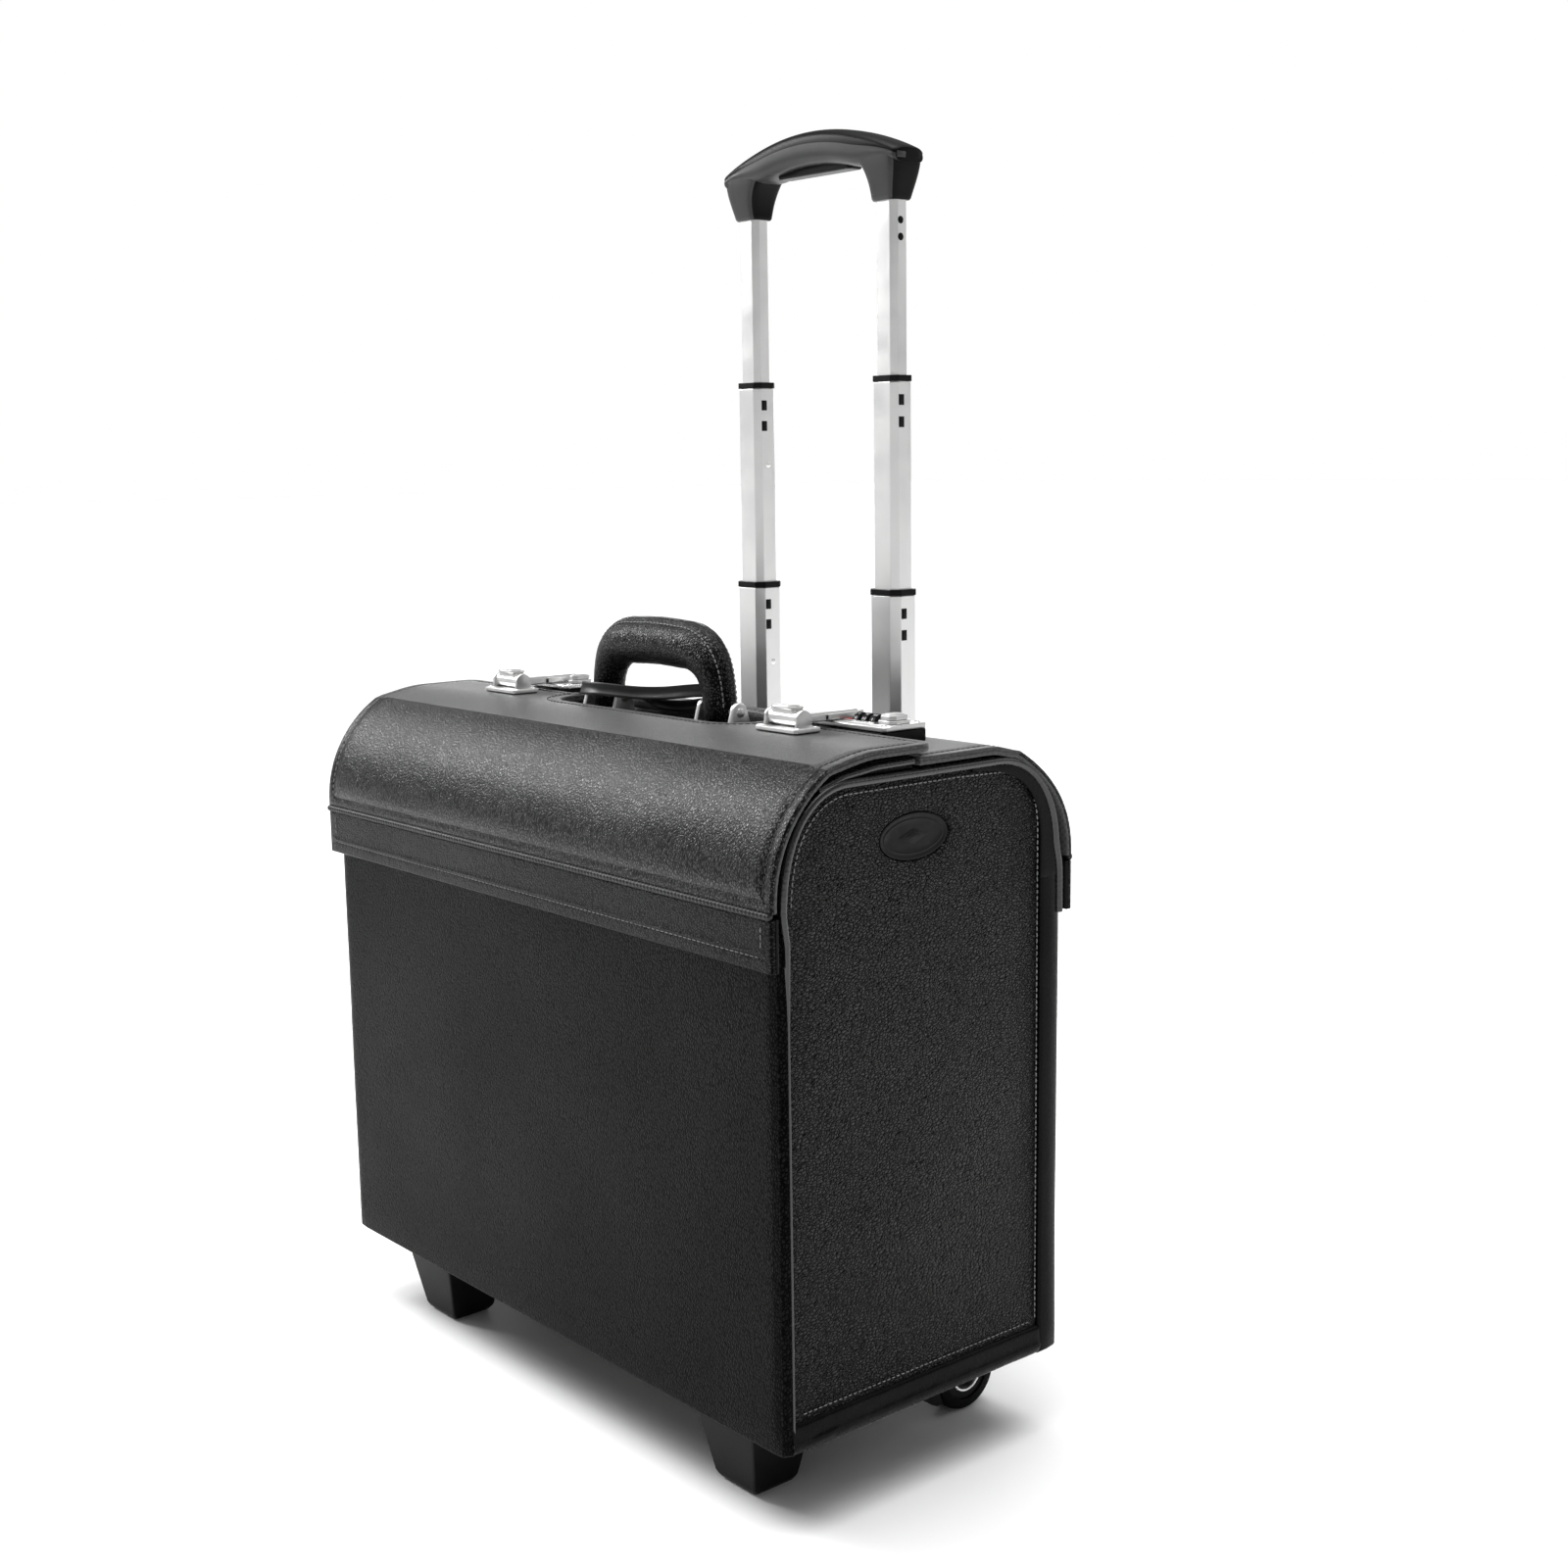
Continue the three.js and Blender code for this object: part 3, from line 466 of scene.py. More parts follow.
def panel(name, loops, place, profile, grid, materials, body, slot, stands_for=(), relief=None,
          pick=None, sharp=38, row=None):
    """A closed sheet. loops are plane outlines with the material on their left; place(a, b, h)
    takes plane points and a height above the outer face to space; profile runs round the edge;
    pick(a, b) chooses the outer face's materials, and a crease may run along b = row."""
    plane, points, faces, lined = [], [], [], []

    def add(flat, height):
        first = len(plane)
        plane.extend(flat.tolist())
        points.extend(place(flat[:, 0], flat[:, 1], np.zeros(len(flat)) + height).tolist())
        return list(range(first, first + len(flat)))

    rims = {0: [], -1: []}
    middle = next(i for i, (d, h) in enumerate(profile) if h > profile[0][1] / 2)
    for loop in loops:
        rings = [add(inset(loop, d), h) for d, h in profile]
        for k, (one, two) in enumerate(zip(rings, rings[1:])):
            n = len(one)
            faces.extend([one[i], one[(i + 1) % n], two[(i + 1) % n], two[i]] for i in range(n))
            lined.extend([k < middle - 1] * n)
        for end in rims:
            rims[end].append(rings[end])
    for end in rims:
        height = profile[end][1]
        bounds = [np.array([plane[i] for i in ids]) for ids in rims[end]]
        low, high = bounds[0].min(0), bounds[0].max(0)
        axes = [np.linspace(low[k], high[k], max(2, round((high[k] - low[k]) / grid[k])) + 1)[1:-1]
                for k in (0, 1)]
        if row is not None:
            # One line of points runs exactly along the crease, with close neighbours.
            axes[1] = np.sort(np.concatenate([axes[1][np.abs(axes[1] - row) > 2 * CREASE_GAP],
                                              [row - CREASE_GAP, row, row + CREASE_GAP]]))
        field = np.stack(np.meshgrid(*axes, indexing="ij"), -1).reshape(-1, 2)
        field = field[inside(field, bounds)]
        rim = np.concatenate(bounds)
        gap = np.array([np.min(np.sum((rim - q) ** 2, 1)) for q in field]) ** 0.5
        near = gap > 0.35 * min(grid)
        field, gap = field[near], gap[near]
        ids = [i for group in rims[end] for i in group]
        if len(field):
            lift = 0.0
            if relief is not None and end == -1:
                lift = relief(field[:, 0], field[:, 1]) * np.clip(gap / 8, 0, 1)
            ids += add(field, height + lift)
        edges, start = [], 0
        for group in rims[end]:
            n = len(group)
            edges.extend((start + i, start + (i + 1) % n) for i in range(n))
            start += n
        spots, _, triangles, origin, _, _ = delaunay_2d_cdt([Vector(plane[i]) for i in ids],
                                                            edges, [], 1, 1e-5)
        known = [ids[o[0]] if o else add(np.array([list(q)]), height)[0]
                 for q, o in zip(spots, origin)]
        corners = [[known[i] for i in t] for t in triangles]
        centre = np.array([[plane[i] for i in c] for c in corners]).mean(1)
        good = [c for c, ok in zip(corners, inside(centre, bounds)) if ok]
        faces.extend(good)
        lined.extend([end == 0] * len(good))
    chosen = np.array(lined, int)
    if pick is not None:
        spots = np.array([np.mean([plane[i] for i in f], 0) for f in faces])
        chosen = np.where(chosen == 1, 1, pick(spots[:, 0], spots[:, 1]))
    piece = make(name, points, faces, materials, body, slot, stands_for, chosen, sharp)
    if row is not None:
        on_row = [abs(q[1] - row) < 0.05 for q in plane]
        for e in piece.data.edges:
            if on_row[e.vertices[0]] and on_row[e.vertices[1]]:
                e.use_edge_sharp = True


def frames(path, up):
    """Tangents, sides and ups along a path, turned as little as possible from the first up."""
    tangent = np.gradient(path, axis=0)
    tangent /= np.linalg.norm(tangent, axis=1)[:, None]
    ups = np.zeros_like(path)
    u = np.array(up, float)
    for i, t in enumerate(tangent):
        u = unit(u - t * np.dot(u, t))
        ups[i] = u
    return tangent, np.cross(tangent, ups), ups


def sweep(name, path, section, up, materials, body, stands_for=(), sharp=50):
    """Runs a section along a path. section(i, share) gives (side, up) points at station i."""
    _, side, ups = frames(path, up)
    count = len(path)
    points = []
    for i in range(count):
        s = np.array(section(i, i / (count - 1)), float)
        points.extend((path[i] + side[i] * s[:, 0:1] + ups[i] * s[:, 1:2]).tolist())
    m = len(points) // count
    faces = skin(count, m, caps=False)
    for start in (0, (count - 1) * m):
        points.append(np.mean(points[start:start + m], 0).tolist())
        faces.extend([start + k, start + (k + 1) % m, len(points) - 1] for k in range(m))
    make(name, points, faces, materials, body, "leather_trim", stands_for, None, sharp)


def upright(x, y=0.0, z=0.0):
    """Frame of an outline drawn in (y, z) and raised along x."""
    return (x, y, z), (0, 1, 0), (0, 0, 1)


class Batch:
    """Many small closed bits gathered into one mesh piece; `which` is a bit's material."""

    def __init__(self):
        self.points, self.faces, self.chosen = [], [], []

    def add(self, points, faces, which=0):
        first = len(self.points)
        self.points.extend(np.asarray(points, float).tolist())
        self.faces.extend([i + first for i in f] for f in faces)
        self.chosen.extend(which if isinstance(which, list) else [which] * len(faces))

    def lathe(self, origin, axis, profile, n=24, which=0, closed=False):
        """Turns (radius, height) pairs about an axis: from centre to centre, or a closed ring."""
        axis = unit(np.array(axis, float))
        a = unit(np.cross(axis, (1, 0, 0) if abs(axis[0]) < 0.8 else (0, 1, 0)))
        b = np.cross(axis, a)
        points, rows, faces = [], [], []
        for r, h in profile:
            count = n if r > 0 else 1
            rows.append([len(points) + k for k in range(count)])
            for k in range(count):
                t = ROUND * k / n
                points.append(np.array(origin) + axis * h + (a * math.cos(t) + b * math.sin(t)) * r)
        for one, two in zip(rows, rows[1:] + rows[:1] if closed else rows[1:]):
            for k in range(n):
                j = (k + 1) % n
                face = dict.fromkeys((one[k % len(one)], one[j % len(one)],
                                      two[j % len(two)], two[k % len(two)]))
                if len(face) > 2:
                    faces.append(list(face))
        self.add(points, faces, which)

    def block(self, low, high, bevel=0.4, which=0, turn=None, centre=None):
        """A box with rounded edges, given by its corners, turned about a centre."""
        work = bmesh.new()
        bmesh.ops.create_cube(work, size=1)
        low, high = np.array(low, float), np.array(high, float)
        middle = (low + high) / 2
        for v in work.verts:
            v.co = Vector(middle + np.array(v.co) * (high - low))
        if bevel:
            bmesh.ops.bevel(work, geom=work.edges, offset=bevel, segments=2, profile=0.5,
                            affect="EDGES")
        if turn is not None:
            about = Vector(middle if centre is None else centre)
            for v in work.verts:
                v.co = about + turn @ (v.co - about)
        self.add([v.co[:] for v in work.verts], [[v.index for v in f.verts] for f in work.faces],
                 which)
        work.free()

    def prism(self, outline, z0, z1, bevel=0.5, which=0, base=((0, 0, 0), (1, 0, 0), (0, 1, 0))):
        """A plane outline raised along its normal, its rim rounded; base is (origin, u, v)."""
        outline = left(np.array(outline, float))
        rings = [(bevel, z0), (0, z0 + bevel), (0, z1 - bevel), (bevel * 0.3, z1 - bevel * 0.3),
                 (bevel, z1)]
        o, u, v = (np.array(q, float) for q in base)
        points = []
        for d, z in rings:
            flat = inset(outline, d)
            points.extend(o + flat[:, 0:1] * u + flat[:, 1:2] * v + np.cross(u, v) * z)
        self.add(points, skin(len(rings), len(outline)), which)

    def loft(self, rings, pick):
        """Skins rings of equal length and caps both ends; pick(k) gives column k's material."""
        count, n = len(rings), len(rings[0])
        self.add(np.concatenate(rings), skin(count, n),
                 [pick(k) for k in range(n)] * (count - 1) + [pick(n // 4)] * 2)

    def finish(self, name, materials, body, slot, stands_for=(), sharp=38):
        make(name, self.points, self.faces, materials, body, slot, stands_for, self.chosen, sharp)


def sew(batch, line, normals, pitch=4.0, length=2.9, r=0.38, lift=0.12):
    """Single stitches along a line in space, each a small capsule half sunk in the leather."""
    line = np.array(line, float)
    s = lengths(line)
    count = max(1, int(s[-1] // pitch))
    start = (s[-1] - (count - 1) * pitch) / 2
    normals = np.broadcast_to(np.array(normals, float), line.shape)
    stations = ((-0.5, 0.25, -0.35), (-0.4, 0.8, -0.1), (0.0, 1.0, 0.1), (0.4, 0.8, -0.1),
                (0.5, 0.25, -0.35))
    for i in range(count):
        mid = start + i * pitch
        along = between(mid + length / 2, s, line) - between(mid - length / 2, s, line)
        t = along / max(np.linalg.norm(along), 1e-6)
        n = between(mid, s, normals)
        n = unit(n - t * np.dot(n, t))
        side = np.cross(t, n)
        points = []
        for share, size, rise in stations:
            centre = between(mid, s, line) + t * share * length + n * (lift + rise * r)
            points.extend(centre + (side * math.cos(w) + n * math.sin(w)) * r * size
                          for w in math.pi * np.arange(6) / 3)
        batch.add(points, skin(len(stations), 6))


def waves(seed, size_a, size_b, amount):
    """Low, soft unevenness of leather over board, the same each run."""
    def relief(a, b):
        return np.array([noise.noise((x / size_a + seed, y / size_b, seed * 0.37))
                         for x, y in zip(a, b)]) * amount
    return relief


def on_end(sign, x):
    """Places a sheet's (y, z) on an end of the case."""
    return lambda a, b, h: stack(sign * (x + h), a, b)


def on_top(z):
    return lambda a, b, h: stack(a, b, z + h)


def on_line(line):
    """Places a sheet across the case, along a line in (y, z)."""
    return lambda a, b, h: np.column_stack([a, line.at(b, h)])


# ------------------------------------------------------------------ body: front, rear, ends, floor
def wall_line(face, lip):
    """Plan line of a wall's outer face, its normal pointing out."""
    sign = math.copysign(1, face)
    r = 6.0
    x, y = HALF_W - r, abs(face) - r
    points = chain([(HALF_W, lip)], arc(x, y, r, 0, 90, 8),
                   [(-q, abs(face)) for q in np.linspace(-x, x, 80)[1:-1]],
                   arc(-x, y, r, 90, 180, 8), [(-HALF_W, lip)])
    return Line2(points * (1, sign), flip=-sign)


def wall(where, line, top, materials, seed, pick=None):
    def place(a, b, h):
        return np.column_stack([line.at(a, h), b])

    soft = waves(seed, 70, 90, 0.5)
    panel(f"{where}_panel", [spread(rect(0, WALL_FOOT, line.length, top), 8)], place,
          edge(5, 2.0), (5.0, 12.0), materials, "case", "leather", (f"{where}_wall",),
          lambda a, b: soft(a, b) + 0.3, pick)


wall("front", wall_line(-HALF_D, 100.0), 343.0, [FACE, LINING], 1.7)
rear_line = wall_line(HALF_D, 90.0)
wall("rear", rear_line, 350.0, [FACE, LINING, TRIM], 5.1,
     lambda a, b: np.where((a < 26) | (a > rear_line.length - 26), 2, 0))

BADGE_Y, BADGE_Z, BADGE_A, BADGE_B = -9.0, 375.0, 24.0, 11.5


def badge(grow):
    t = angles(56)
    return stack(BADGE_Y + (BADGE_A + grow) * np.cos(t), BADGE_Z + (BADGE_B + grow) * np.sin(t))


end_outline = chain([(-99.7, 67.0), (89.0, 67.0), (89.0, 350.3), (97.5, 350.3)],
                    bezier((97.5, 350.3), (97.5, 385), (82, 407.5), (54, 407.5), 20),
                    bezier((-58, 407.5), (-85, 407.5), (-103, 385), (-103, 343.3), 20),
                    [(-99.7, 343.3)])
for side, sign in SIDES:
    loops = [spread(end_outline, 6)]
    if sign > 0:
        loops.append(badge(1.6)[::-1])
    soft = waves(9.3 + sign, 45, 60, 0.7)

    def pillow(a, b):
        mid = np.clip(1 - ((a + 5) / 96) ** 4, 0, 1) * np.clip(1 - ((b - 235) / 172) ** 4, 0, 1)
        return soft(a, b) + 0.9 * mid

    panel(f"end_leather_{side}", loops, on_end(sign, END_X), edge(5, 1.4, seam=[(3.0, 0.15)]),
          (7.0, 7.0), [END, LINING], "case", "leather", (f"end_panel_{side}",), pillow)

# Pressed oval badge without any lettering: sunk field, raised inner border, plain lozenge.
panel("badge_field", [badge(1.2)], on_end(1, END_X - 0.9),
      [(0.1, -4.1), (0, -4.0), (0, -3.0), (0, 0.35), (0.8, 0.5), (1.6, 0.1), (2.6, -0.15),
       (3.4, 0.15), (4.2, -0.15)], (3.0, 3.0), [PRESSED, LINING], "case", "leather")
motif = Batch()
for grow, raised in ((1.0, 0.75), (0.62, 1.05), (0.3, 1.3)):
    motif.prism(np.array([(-11, 0), (0, -4.2), (11, 0), (0, 4.2)]) * grow, 0, raised, 0.3, 0,
                upright(END_X - 1.5, BADGE_Y, BADGE_Z))
motif.finish("badge_motif", [PRESSED], "case", "leather")

# Smooth strip that carries the rear binding up and round the top of each end.
for side, sign in SIDES:
    shape = chain([(89.0, 338.0), (103.6, 338.0), (103.2, 350.0)],
                  bezier((101.4, 362), (99.6, 388), (82, 409), (54, 409), 20), [(34, 409)],
                  bezier((34, 405.2), (66, 404.8), (89.0, 394), (89.0, 362), 20))
    panel(f"end_binding_upper_{side}", [spread(shape, 5)], on_end(sign, END_X + 1.7),
          edge(2.1, 0.7), (4.0, 4.0), [TRIM, TRIM], "case", "leather_trim")

# Piping round the top of each end, a second roll in the wider gap under the front flap, and the
# dark gusset between them and the flaps.
top_curve = chain([(-100.4, 54.0), (-100.6, 290.0), (-101.2, 330.0)],
                  bezier((-103.5, 345), (-103.5, 386), (-85, 409.2), (-58, 409.2)),
                  bezier((54, 409.2), (82, 409.2), (99.8, 388), (101.6, 362)),
                  bezier((101.6, 362), (102.4, 352), (105.0, 348), (105.2, 338), 10),
                  [(105.2, 316)])
inner_top = chain(bezier((-100.5, 345), (-100.5, 384), (-84, 405.5), (-58, 405.5)),
                  bezier((54, 405.5), (80, 405.5), (95.0, 385), (95.0, 353), 24), [(95.0, 341)])
outer_top = chain(bezier((-107.0, 349), (-107.0, 378), (-97, 403), (-72, 413.6), 24),
                  [(-38, 418.6), (-10, 419), (-8, 412.4), (45, 412.2)],
                  bezier((70, 407.6), (95, 398), (107.0, 376), (107.0, 353), 24),
                  [(106.8, 346), (102.0, 341)])
for side, sign in SIDES:
    piping_x, welt_x, gusset_x = sign * (END_X + 0.8), sign * (END_X - 0.1), END_X - 2.1
    line = walk(np.column_stack([np.full(len(top_curve), piping_x), top_curve]), 1.2)

    def bead(i, share):
        """Full round on top, thin down the front corner, with fine puckers."""
        rise = min(1.0, max(0.0, (line[i][2] - 285) / 55)) if line[i][1] < 0 else 1.0
        grow = (0.36 + 0.64 * rise) * (1 + (0.012 + 0.02 * rise) * math.sin(i * 2.4))
        return circle(2.5 * grow)

    sweep(f"end_piping_{side}", line, bead, (sign, 0, 0), [BEAD], "case")
    welt = walk([(welt_x, -78, 407.4), (welt_x, -60, 412.8), (welt_x, -38, 415.4),
                 (welt_x, -10, 415.8)], 1.2)
    sweep(f"end_welt_{side}", welt, lambda i, share: circle(2.0 * (1 + 0.04 * math.sin(i * 2.4))),
          (sign, 0, 0), [BEAD], "case")
    panel(f"end_gusset_{side}", [spread(np.concatenate([inner_top, outer_top[::-1]]), 6)],
          on_end(sign, gusset_x), edge(2.4, 0.8), (8.0, 4.0), [TRIM, LINING], "case", "leather_trim")

# Bottom: covered board, with a binding that rolls up over the foot of each end.
x, y, r = 222.0, 100.0, 4.0
shape = chain(arc(x, y, r, 0, 90), arc(-x, y, r, 90, 180), arc(-x, -y, r, 180, 270),
              arc(x, -y, r, 270, 360))
panel("bottom_board", [spread(shape, 20)], lambda a, b, h: stack(a, -b, 50.0 - h), edge(6.0, 1.6),
      (20.0, 20.0), [TRIM, LINING], "case", "leather_trim", ("floor_panel",))
roll = Line2([(226.6, 68.4), (228.4, 68.0), (229.6, 67.0), (230.1, 65.0), (230.3, 62.0),
              (230.6, 59.2), (231.2, 57.6), (231.6, 56.4), (231.3, 55.0), (230.8, 53.4),
              (230.0, 51.8), (228.6, 50.5), (226.4, 50.0), (218.0, 49.9)])
for side, sign in SIDES:
    wrinkle = waves(3.3 + sign, 7, 5, 0.55)

    def place(a, b, h):
        p = roll.at(b, h)
        return stack(sign * p[:, 0], a, p[:, 1])

    def puckers(a, b):
        return wrinkle(a, b * 1.4) * (np.exp(-np.abs(a + 100) / 22) + 0.25)

    panel(f"end_binding_bottom_{side}", [spread(rect(-101.6, 0, 90.5, roll.length), 3)], place,
          edge(1.2, 0.5), (3.0, 1.5), [TRIM, TRIM], "case", "leather_trim", (), puckers, None, 60)

# ------------------------------------------------------------------ bands at the hinge
for where, sign in (("front", -1), ("rear", 1)):
    uneven = waves(2.0 + sign, 50, 14, 0.3)

    def hem(a, b):
        # A low ridge with the sewn line sunk just under it.
        ridge = np.exp(-((b - HEM_Z - 1.6) / 0.9) ** 2) - 0.8 * np.exp(-((b - HEM_Z) / 0.8) ** 2)
        return uneven(a, b) + 0.55 * ridge

    panel(f"{where}_band", [spread(rect(-FLAP_HALF_W, BAND_FOOT, FLAP_HALF_W, BAND_TOP), 6)],
          lambda a, b, h: stack(a, sign * (FLAP_Y + h), b),
          edge(5.7, 1.3, wall=[(0, -3.3), (0.6, -3.0), (0, -2.7)]), (8.0, 0.9), [BAND, TRIM],
          "case", "leather", (f"{where}_hinge_band",), hem)
    # Rope-like ridge along the fold: it hides the hinge slit and turns with nothing.
    half, y, step, twist = FLAP_HALF_W - 0.6, sign * (FLAP_Y - 0.3), 0.62, 3.1

    def ribs(i, share):
        swell = 1 + 0.13 * np.sin(i * step * ROUND / twist + angles(12))
        r = 2.0 * swell * min(1.0, min(share, 1 - share) * 300 + 0.6)
        return circle(1.0) * stack(r, r)

    sweep(f"{where}_fold_ridge", walk([(-half, y, HINGE_Z), (half, y, HINGE_Z)], step), ribs,
          (0, 0, 1), [STRAP], "case")


# ------------------------------------------------------------------ lid flaps
def flap_line(sign, top, crease, low, full, edge_y):
    """Outer face of a flap in (y, z) from the fold to the free edge: a curved side, a crease at
    (crease, low), then a board that rises to the level part at y = full."""
    curve = bezier((sign * FLAP_Y, 352), (sign * FLAP_Y, 382),
                   (sign * (crease + 23), low - 13.0), (sign * crease, low), 40)
    board = bezier((sign * crease, low), (sign * (crease - 10), low + 1.6),
                   (sign * (full + 12), top), (sign * full, top), 16)
    level = [(sign * full + (edge_y - sign * full) * k, top) for k in np.linspace(0.05, 1, 16)]
    return Line2(chain([(sign * FLAP_Y, 348.5)], curve, board, level), flip=-sign)


def well_mouth(reach):
    """Where a flap's edge, `reach` past the well's middle, meets the well: half-length, angle."""
    return (WELL_END + math.sqrt(WELL_R ** 2 - reach ** 2),
            math.degrees(math.asin(reach / WELL_R)))


def flap(where, body, line, fold, outline, relief):
    # Past the crease the level part takes the lighter top leather, with its painted sheen.
    panel(f"{where}_flap_leather", [spread(outline, 5)], on_line(line),
          edge(FLAP_T, 0.95, wall=[(0, -2.5), (0.75, -2.25), (0, -2.0)], seam=groove(SEAM, 0.4)),
          (9.0, 3.4), [CREST, LINING, TOP_PAINTED_SHEEN], body, "leather", (f"{where}_flap",), relief,
          lambda a, b: np.where(b > fold, 2, 0), 38, fold)


FRONT_CREASE, REAR_CREASE = 73.0, 70.0
FRONT_EDGE, REAR_EDGE = 4.0, -8.0           # y of the flaps' free edges
FRONT_FLAP = flap_line(-1, LID_Z, FRONT_CREASE, 419.6, 38.0, FRONT_EDGE)
REAR_FLAP = flap_line(1, REAR_LID_Z, REAR_CREASE, 413.6, 45.0, REAR_EDGE)
front_fold = FRONT_FLAP.where(0, -FRONT_CREASE)
w, r = FLAP_HALF_W, 10.0

# Front flap: rounded free corners, and lips that run softly into the well.
free = FRONT_FLAP.length
zero = free - FRONT_EDGE                    # length along the line at y = 0
meet, turn = well_mouth(FRONT_EDGE - HANDLE_Y)
outline = chain(
    [(-w, 0), (w, 0)], arc(w - r, free - r, r, 0, 90),
    [(meet + 1.6, free), (meet + 0.2, free - 0.6)],
    arc(WELL_END, zero + HANDLE_Y, WELL_R, turn - 4, -90, 14),
    arc(-WELL_END, zero + HANDLE_Y, WELL_R, -90, -176 - turn, 14),
    [(-meet - 0.2, free - 0.6), (-meet - 1.6, free)], arc(-w + r, free - r, r, 90, 180))
front_soft = waves(4.4, 60, 36, 0.9)


def front_relief(a, b):
    # The leather lies flat on the board of the top and swells a little on the curved front.
    curved = np.clip((front_fold - 3 - b) / 16, 0.12, 1)
    return front_soft(a, b) * curved + 0.25 * curved


flap("front", "front_lid", FRONT_FLAP, front_fold, outline, front_relief)

# Rear flap: plane coordinates are (x, b) with b = zero - y on the level part.
free = REAR_FLAP.length
zero = free + REAR_EDGE
meet, turn = well_mouth(HANDLE_Y - REAR_EDGE)
outline = chain([(-w, 0), (w, 0), (w, free), (meet, free)],
                arc(WELL_END, zero - HANDLE_Y, WELL_R, turn, -90, 12),
                arc(-WELL_END, zero - HANDLE_Y, WELL_R, -90, -180 - turn, 12),
                [(-meet, free), (-w, free)])
flap("rear", "case", REAR_FLAP, REAR_FLAP.where(0, REAR_CREASE), outline,
     waves(7.9, 60, 36, 0.8))

# Closed collar round the rear half of the well.
start, well = FRONT_EDGE + 0.3, WELL_R - 1
turn = math.degrees(math.asin((start - HANDLE_Y) / well))
shape = chain([(112, start)], bezier((112, start), (110, 30), (84, 38), (60, 38), 14),
              bezier((-60, 38), (-84, 38), (-110, 30), (-112, start), 14),
              arc(-WELL_END, HANDLE_Y, well, 180 - turn, 90, 12),
              arc(WELL_END, HANDLE_Y, well, 90, turn, 12))
# The collar takes the lighter top leather, with its painted sheen.
panel("handle_collar", [spread(shape, 3)], on_top(LID_Z),
      edge(6.7, 2.4, seam=groove(8.6, 0.35, 0.8), steps=4), (6.0, 4.0), [TOP_PAINTED_SHEEN, LINING], "case",
      "leather", ("rear_handle_collar",), waves(6.1, 30, 20, 0.5))

# Rail under the lid: leather wrapped, with rolled beads along both edges of the well.
panel("handle_rail_leather", [spread(rect(-222.8, -17, 222.8, 9), 10)], on_top(RAIL_Z),
      edge(17, 3.0, steps=4), (14.0, 5.0), [TRIM, TRIM], "case", "leather_trim", ("handle_rail",))
for name, y, r in (("well_roll_rear", 12.6, 3.6), ("well_roll_front", -21.5, 2.8)):
    sweep(name, walk([(-86, y, RAIL_Z + 4.2), (86, y, RAIL_Z + 4.2)], 2.0),
          lambda i, s: circle(r * (0.55 + 0.45 * min(1, min(s, 1 - s) * 14)), 14) * (1, 1.15),
          (0, 0, 1), [TRIM], "case")


# ------------------------------------------------------------------ stitching
def on_flap(line, a, b):
    """Points just under a flap's outer face and the normals there, for sew()."""
    a, b = np.broadcast_arrays(a, b)
    flat = np.zeros(len(a))
    sunk, face, above = (line.at(b, flat + h) for h in (-0.1, 0.0, 1.0))
    return np.column_stack([a, sunk]), np.column_stack([flat, above - face])


def sew_well(batch, ring, start, end, z):
    """Border stitches round one half of the oval well."""
    t = np.radians(np.linspace(start, end, 24))
    half = stack(WELL_END + ring * np.cos(t), HANDLE_Y + ring * np.sin(t), np.full(24, z))
    sew(batch, walk(np.concatenate([half, half[::-1] * (-1, 1, 1)]), 2.0), (0, 0, 1), r=0.36,
        lift=0.16)


case_light, case_dark, lid_light, lid_dark = (Batch() for _ in range(4))
seam_x = FLAP_HALF_W - SEAM
for sign in (-1, 1):
    for batch, line, short in ((lid_dark if sign > 0 else lid_light, FRONT_FLAP, 15),
                               (case_dark, REAR_FLAP, 4)):
        sew(batch, *on_flap(line, sign * seam_x, np.linspace(3.0, line.length - short, 60)),
            r=0.34)
    # Free edge of the front flap, outside the collar.
    sew(lid_dark, *on_flap(FRONT_FLAP, sign * np.linspace(216, 104, 20), FRONT_FLAP.length - SEAM),
        r=0.34)
sew_well(lid_dark, 30.5, 8, -90, LID_Z + 0.02)
sew_well(case_dark, 29.4, 19, 90, LID_Z - 0.2)
lid_light.finish("lid_stitches_left", [THREAD], "front_lid", "leather_trim")
lid_dark.finish("lid_stitches", [THREAD_DARK], "front_lid", "leather_trim")

for sign in (-1, 1):
    # Bands: along the hem and up both ends.
    y, band_x = sign * (FLAP_Y - 0.1), FLAP_HALF_W - 8.5
    sew(case_light, [(-band_x, y, HEM_Z), (band_x, y, HEM_Z)], (0, sign, 0), r=0.30)
    for end in (-1, 1):
        sew(case_light, [(end * band_x, y, 329), (end * band_x, y, 342)], (0, sign, 0), r=0.32)
# Ends: up along the rear binding, round under the crest and down the front; then along the foot.
curve = chain([(87.2, 72), (87.2, 366)],
              bezier((87.2, 366), (87.2, 388), (78, 400.4), (56, 402.6), 20),
              [(22, 403.6), (-56, 403.6)],
              bezier((-56, 403.6), (-80, 403.6), (-97.5, 383), (-97.5, 348), 20))
for end in (-1, 1):
    path = walk(np.column_stack([np.full(len(curve), end * (END_X + 0.35)), curve]), 3.0)
    sew(case_light, path, (end, 0, 0), pitch=3.6, length=2.5, r=0.42, lift=0.3)
    x = end * (END_X + 0.5)
    sew(case_light, [(x, -95, 72.0), (x, 84, 72.0)], (end, 0, 0), 3.6, 2.3, 0.32, 0.0)
case_light.finish("case_stitches_grey", [THREAD], "case", "leather_trim")
case_dark.finish("case_stitches_dark", [THREAD_DARK], "case", "leather_trim")

# ------------------------------------------------------------------ carry handle
HANDLE_N = 44
SEWN_EDGE = math.radians(8)                 # the sewn edge points out, a little to the rear
STITCH_OFF = 0.62                           # angle of the stitched lines beside it


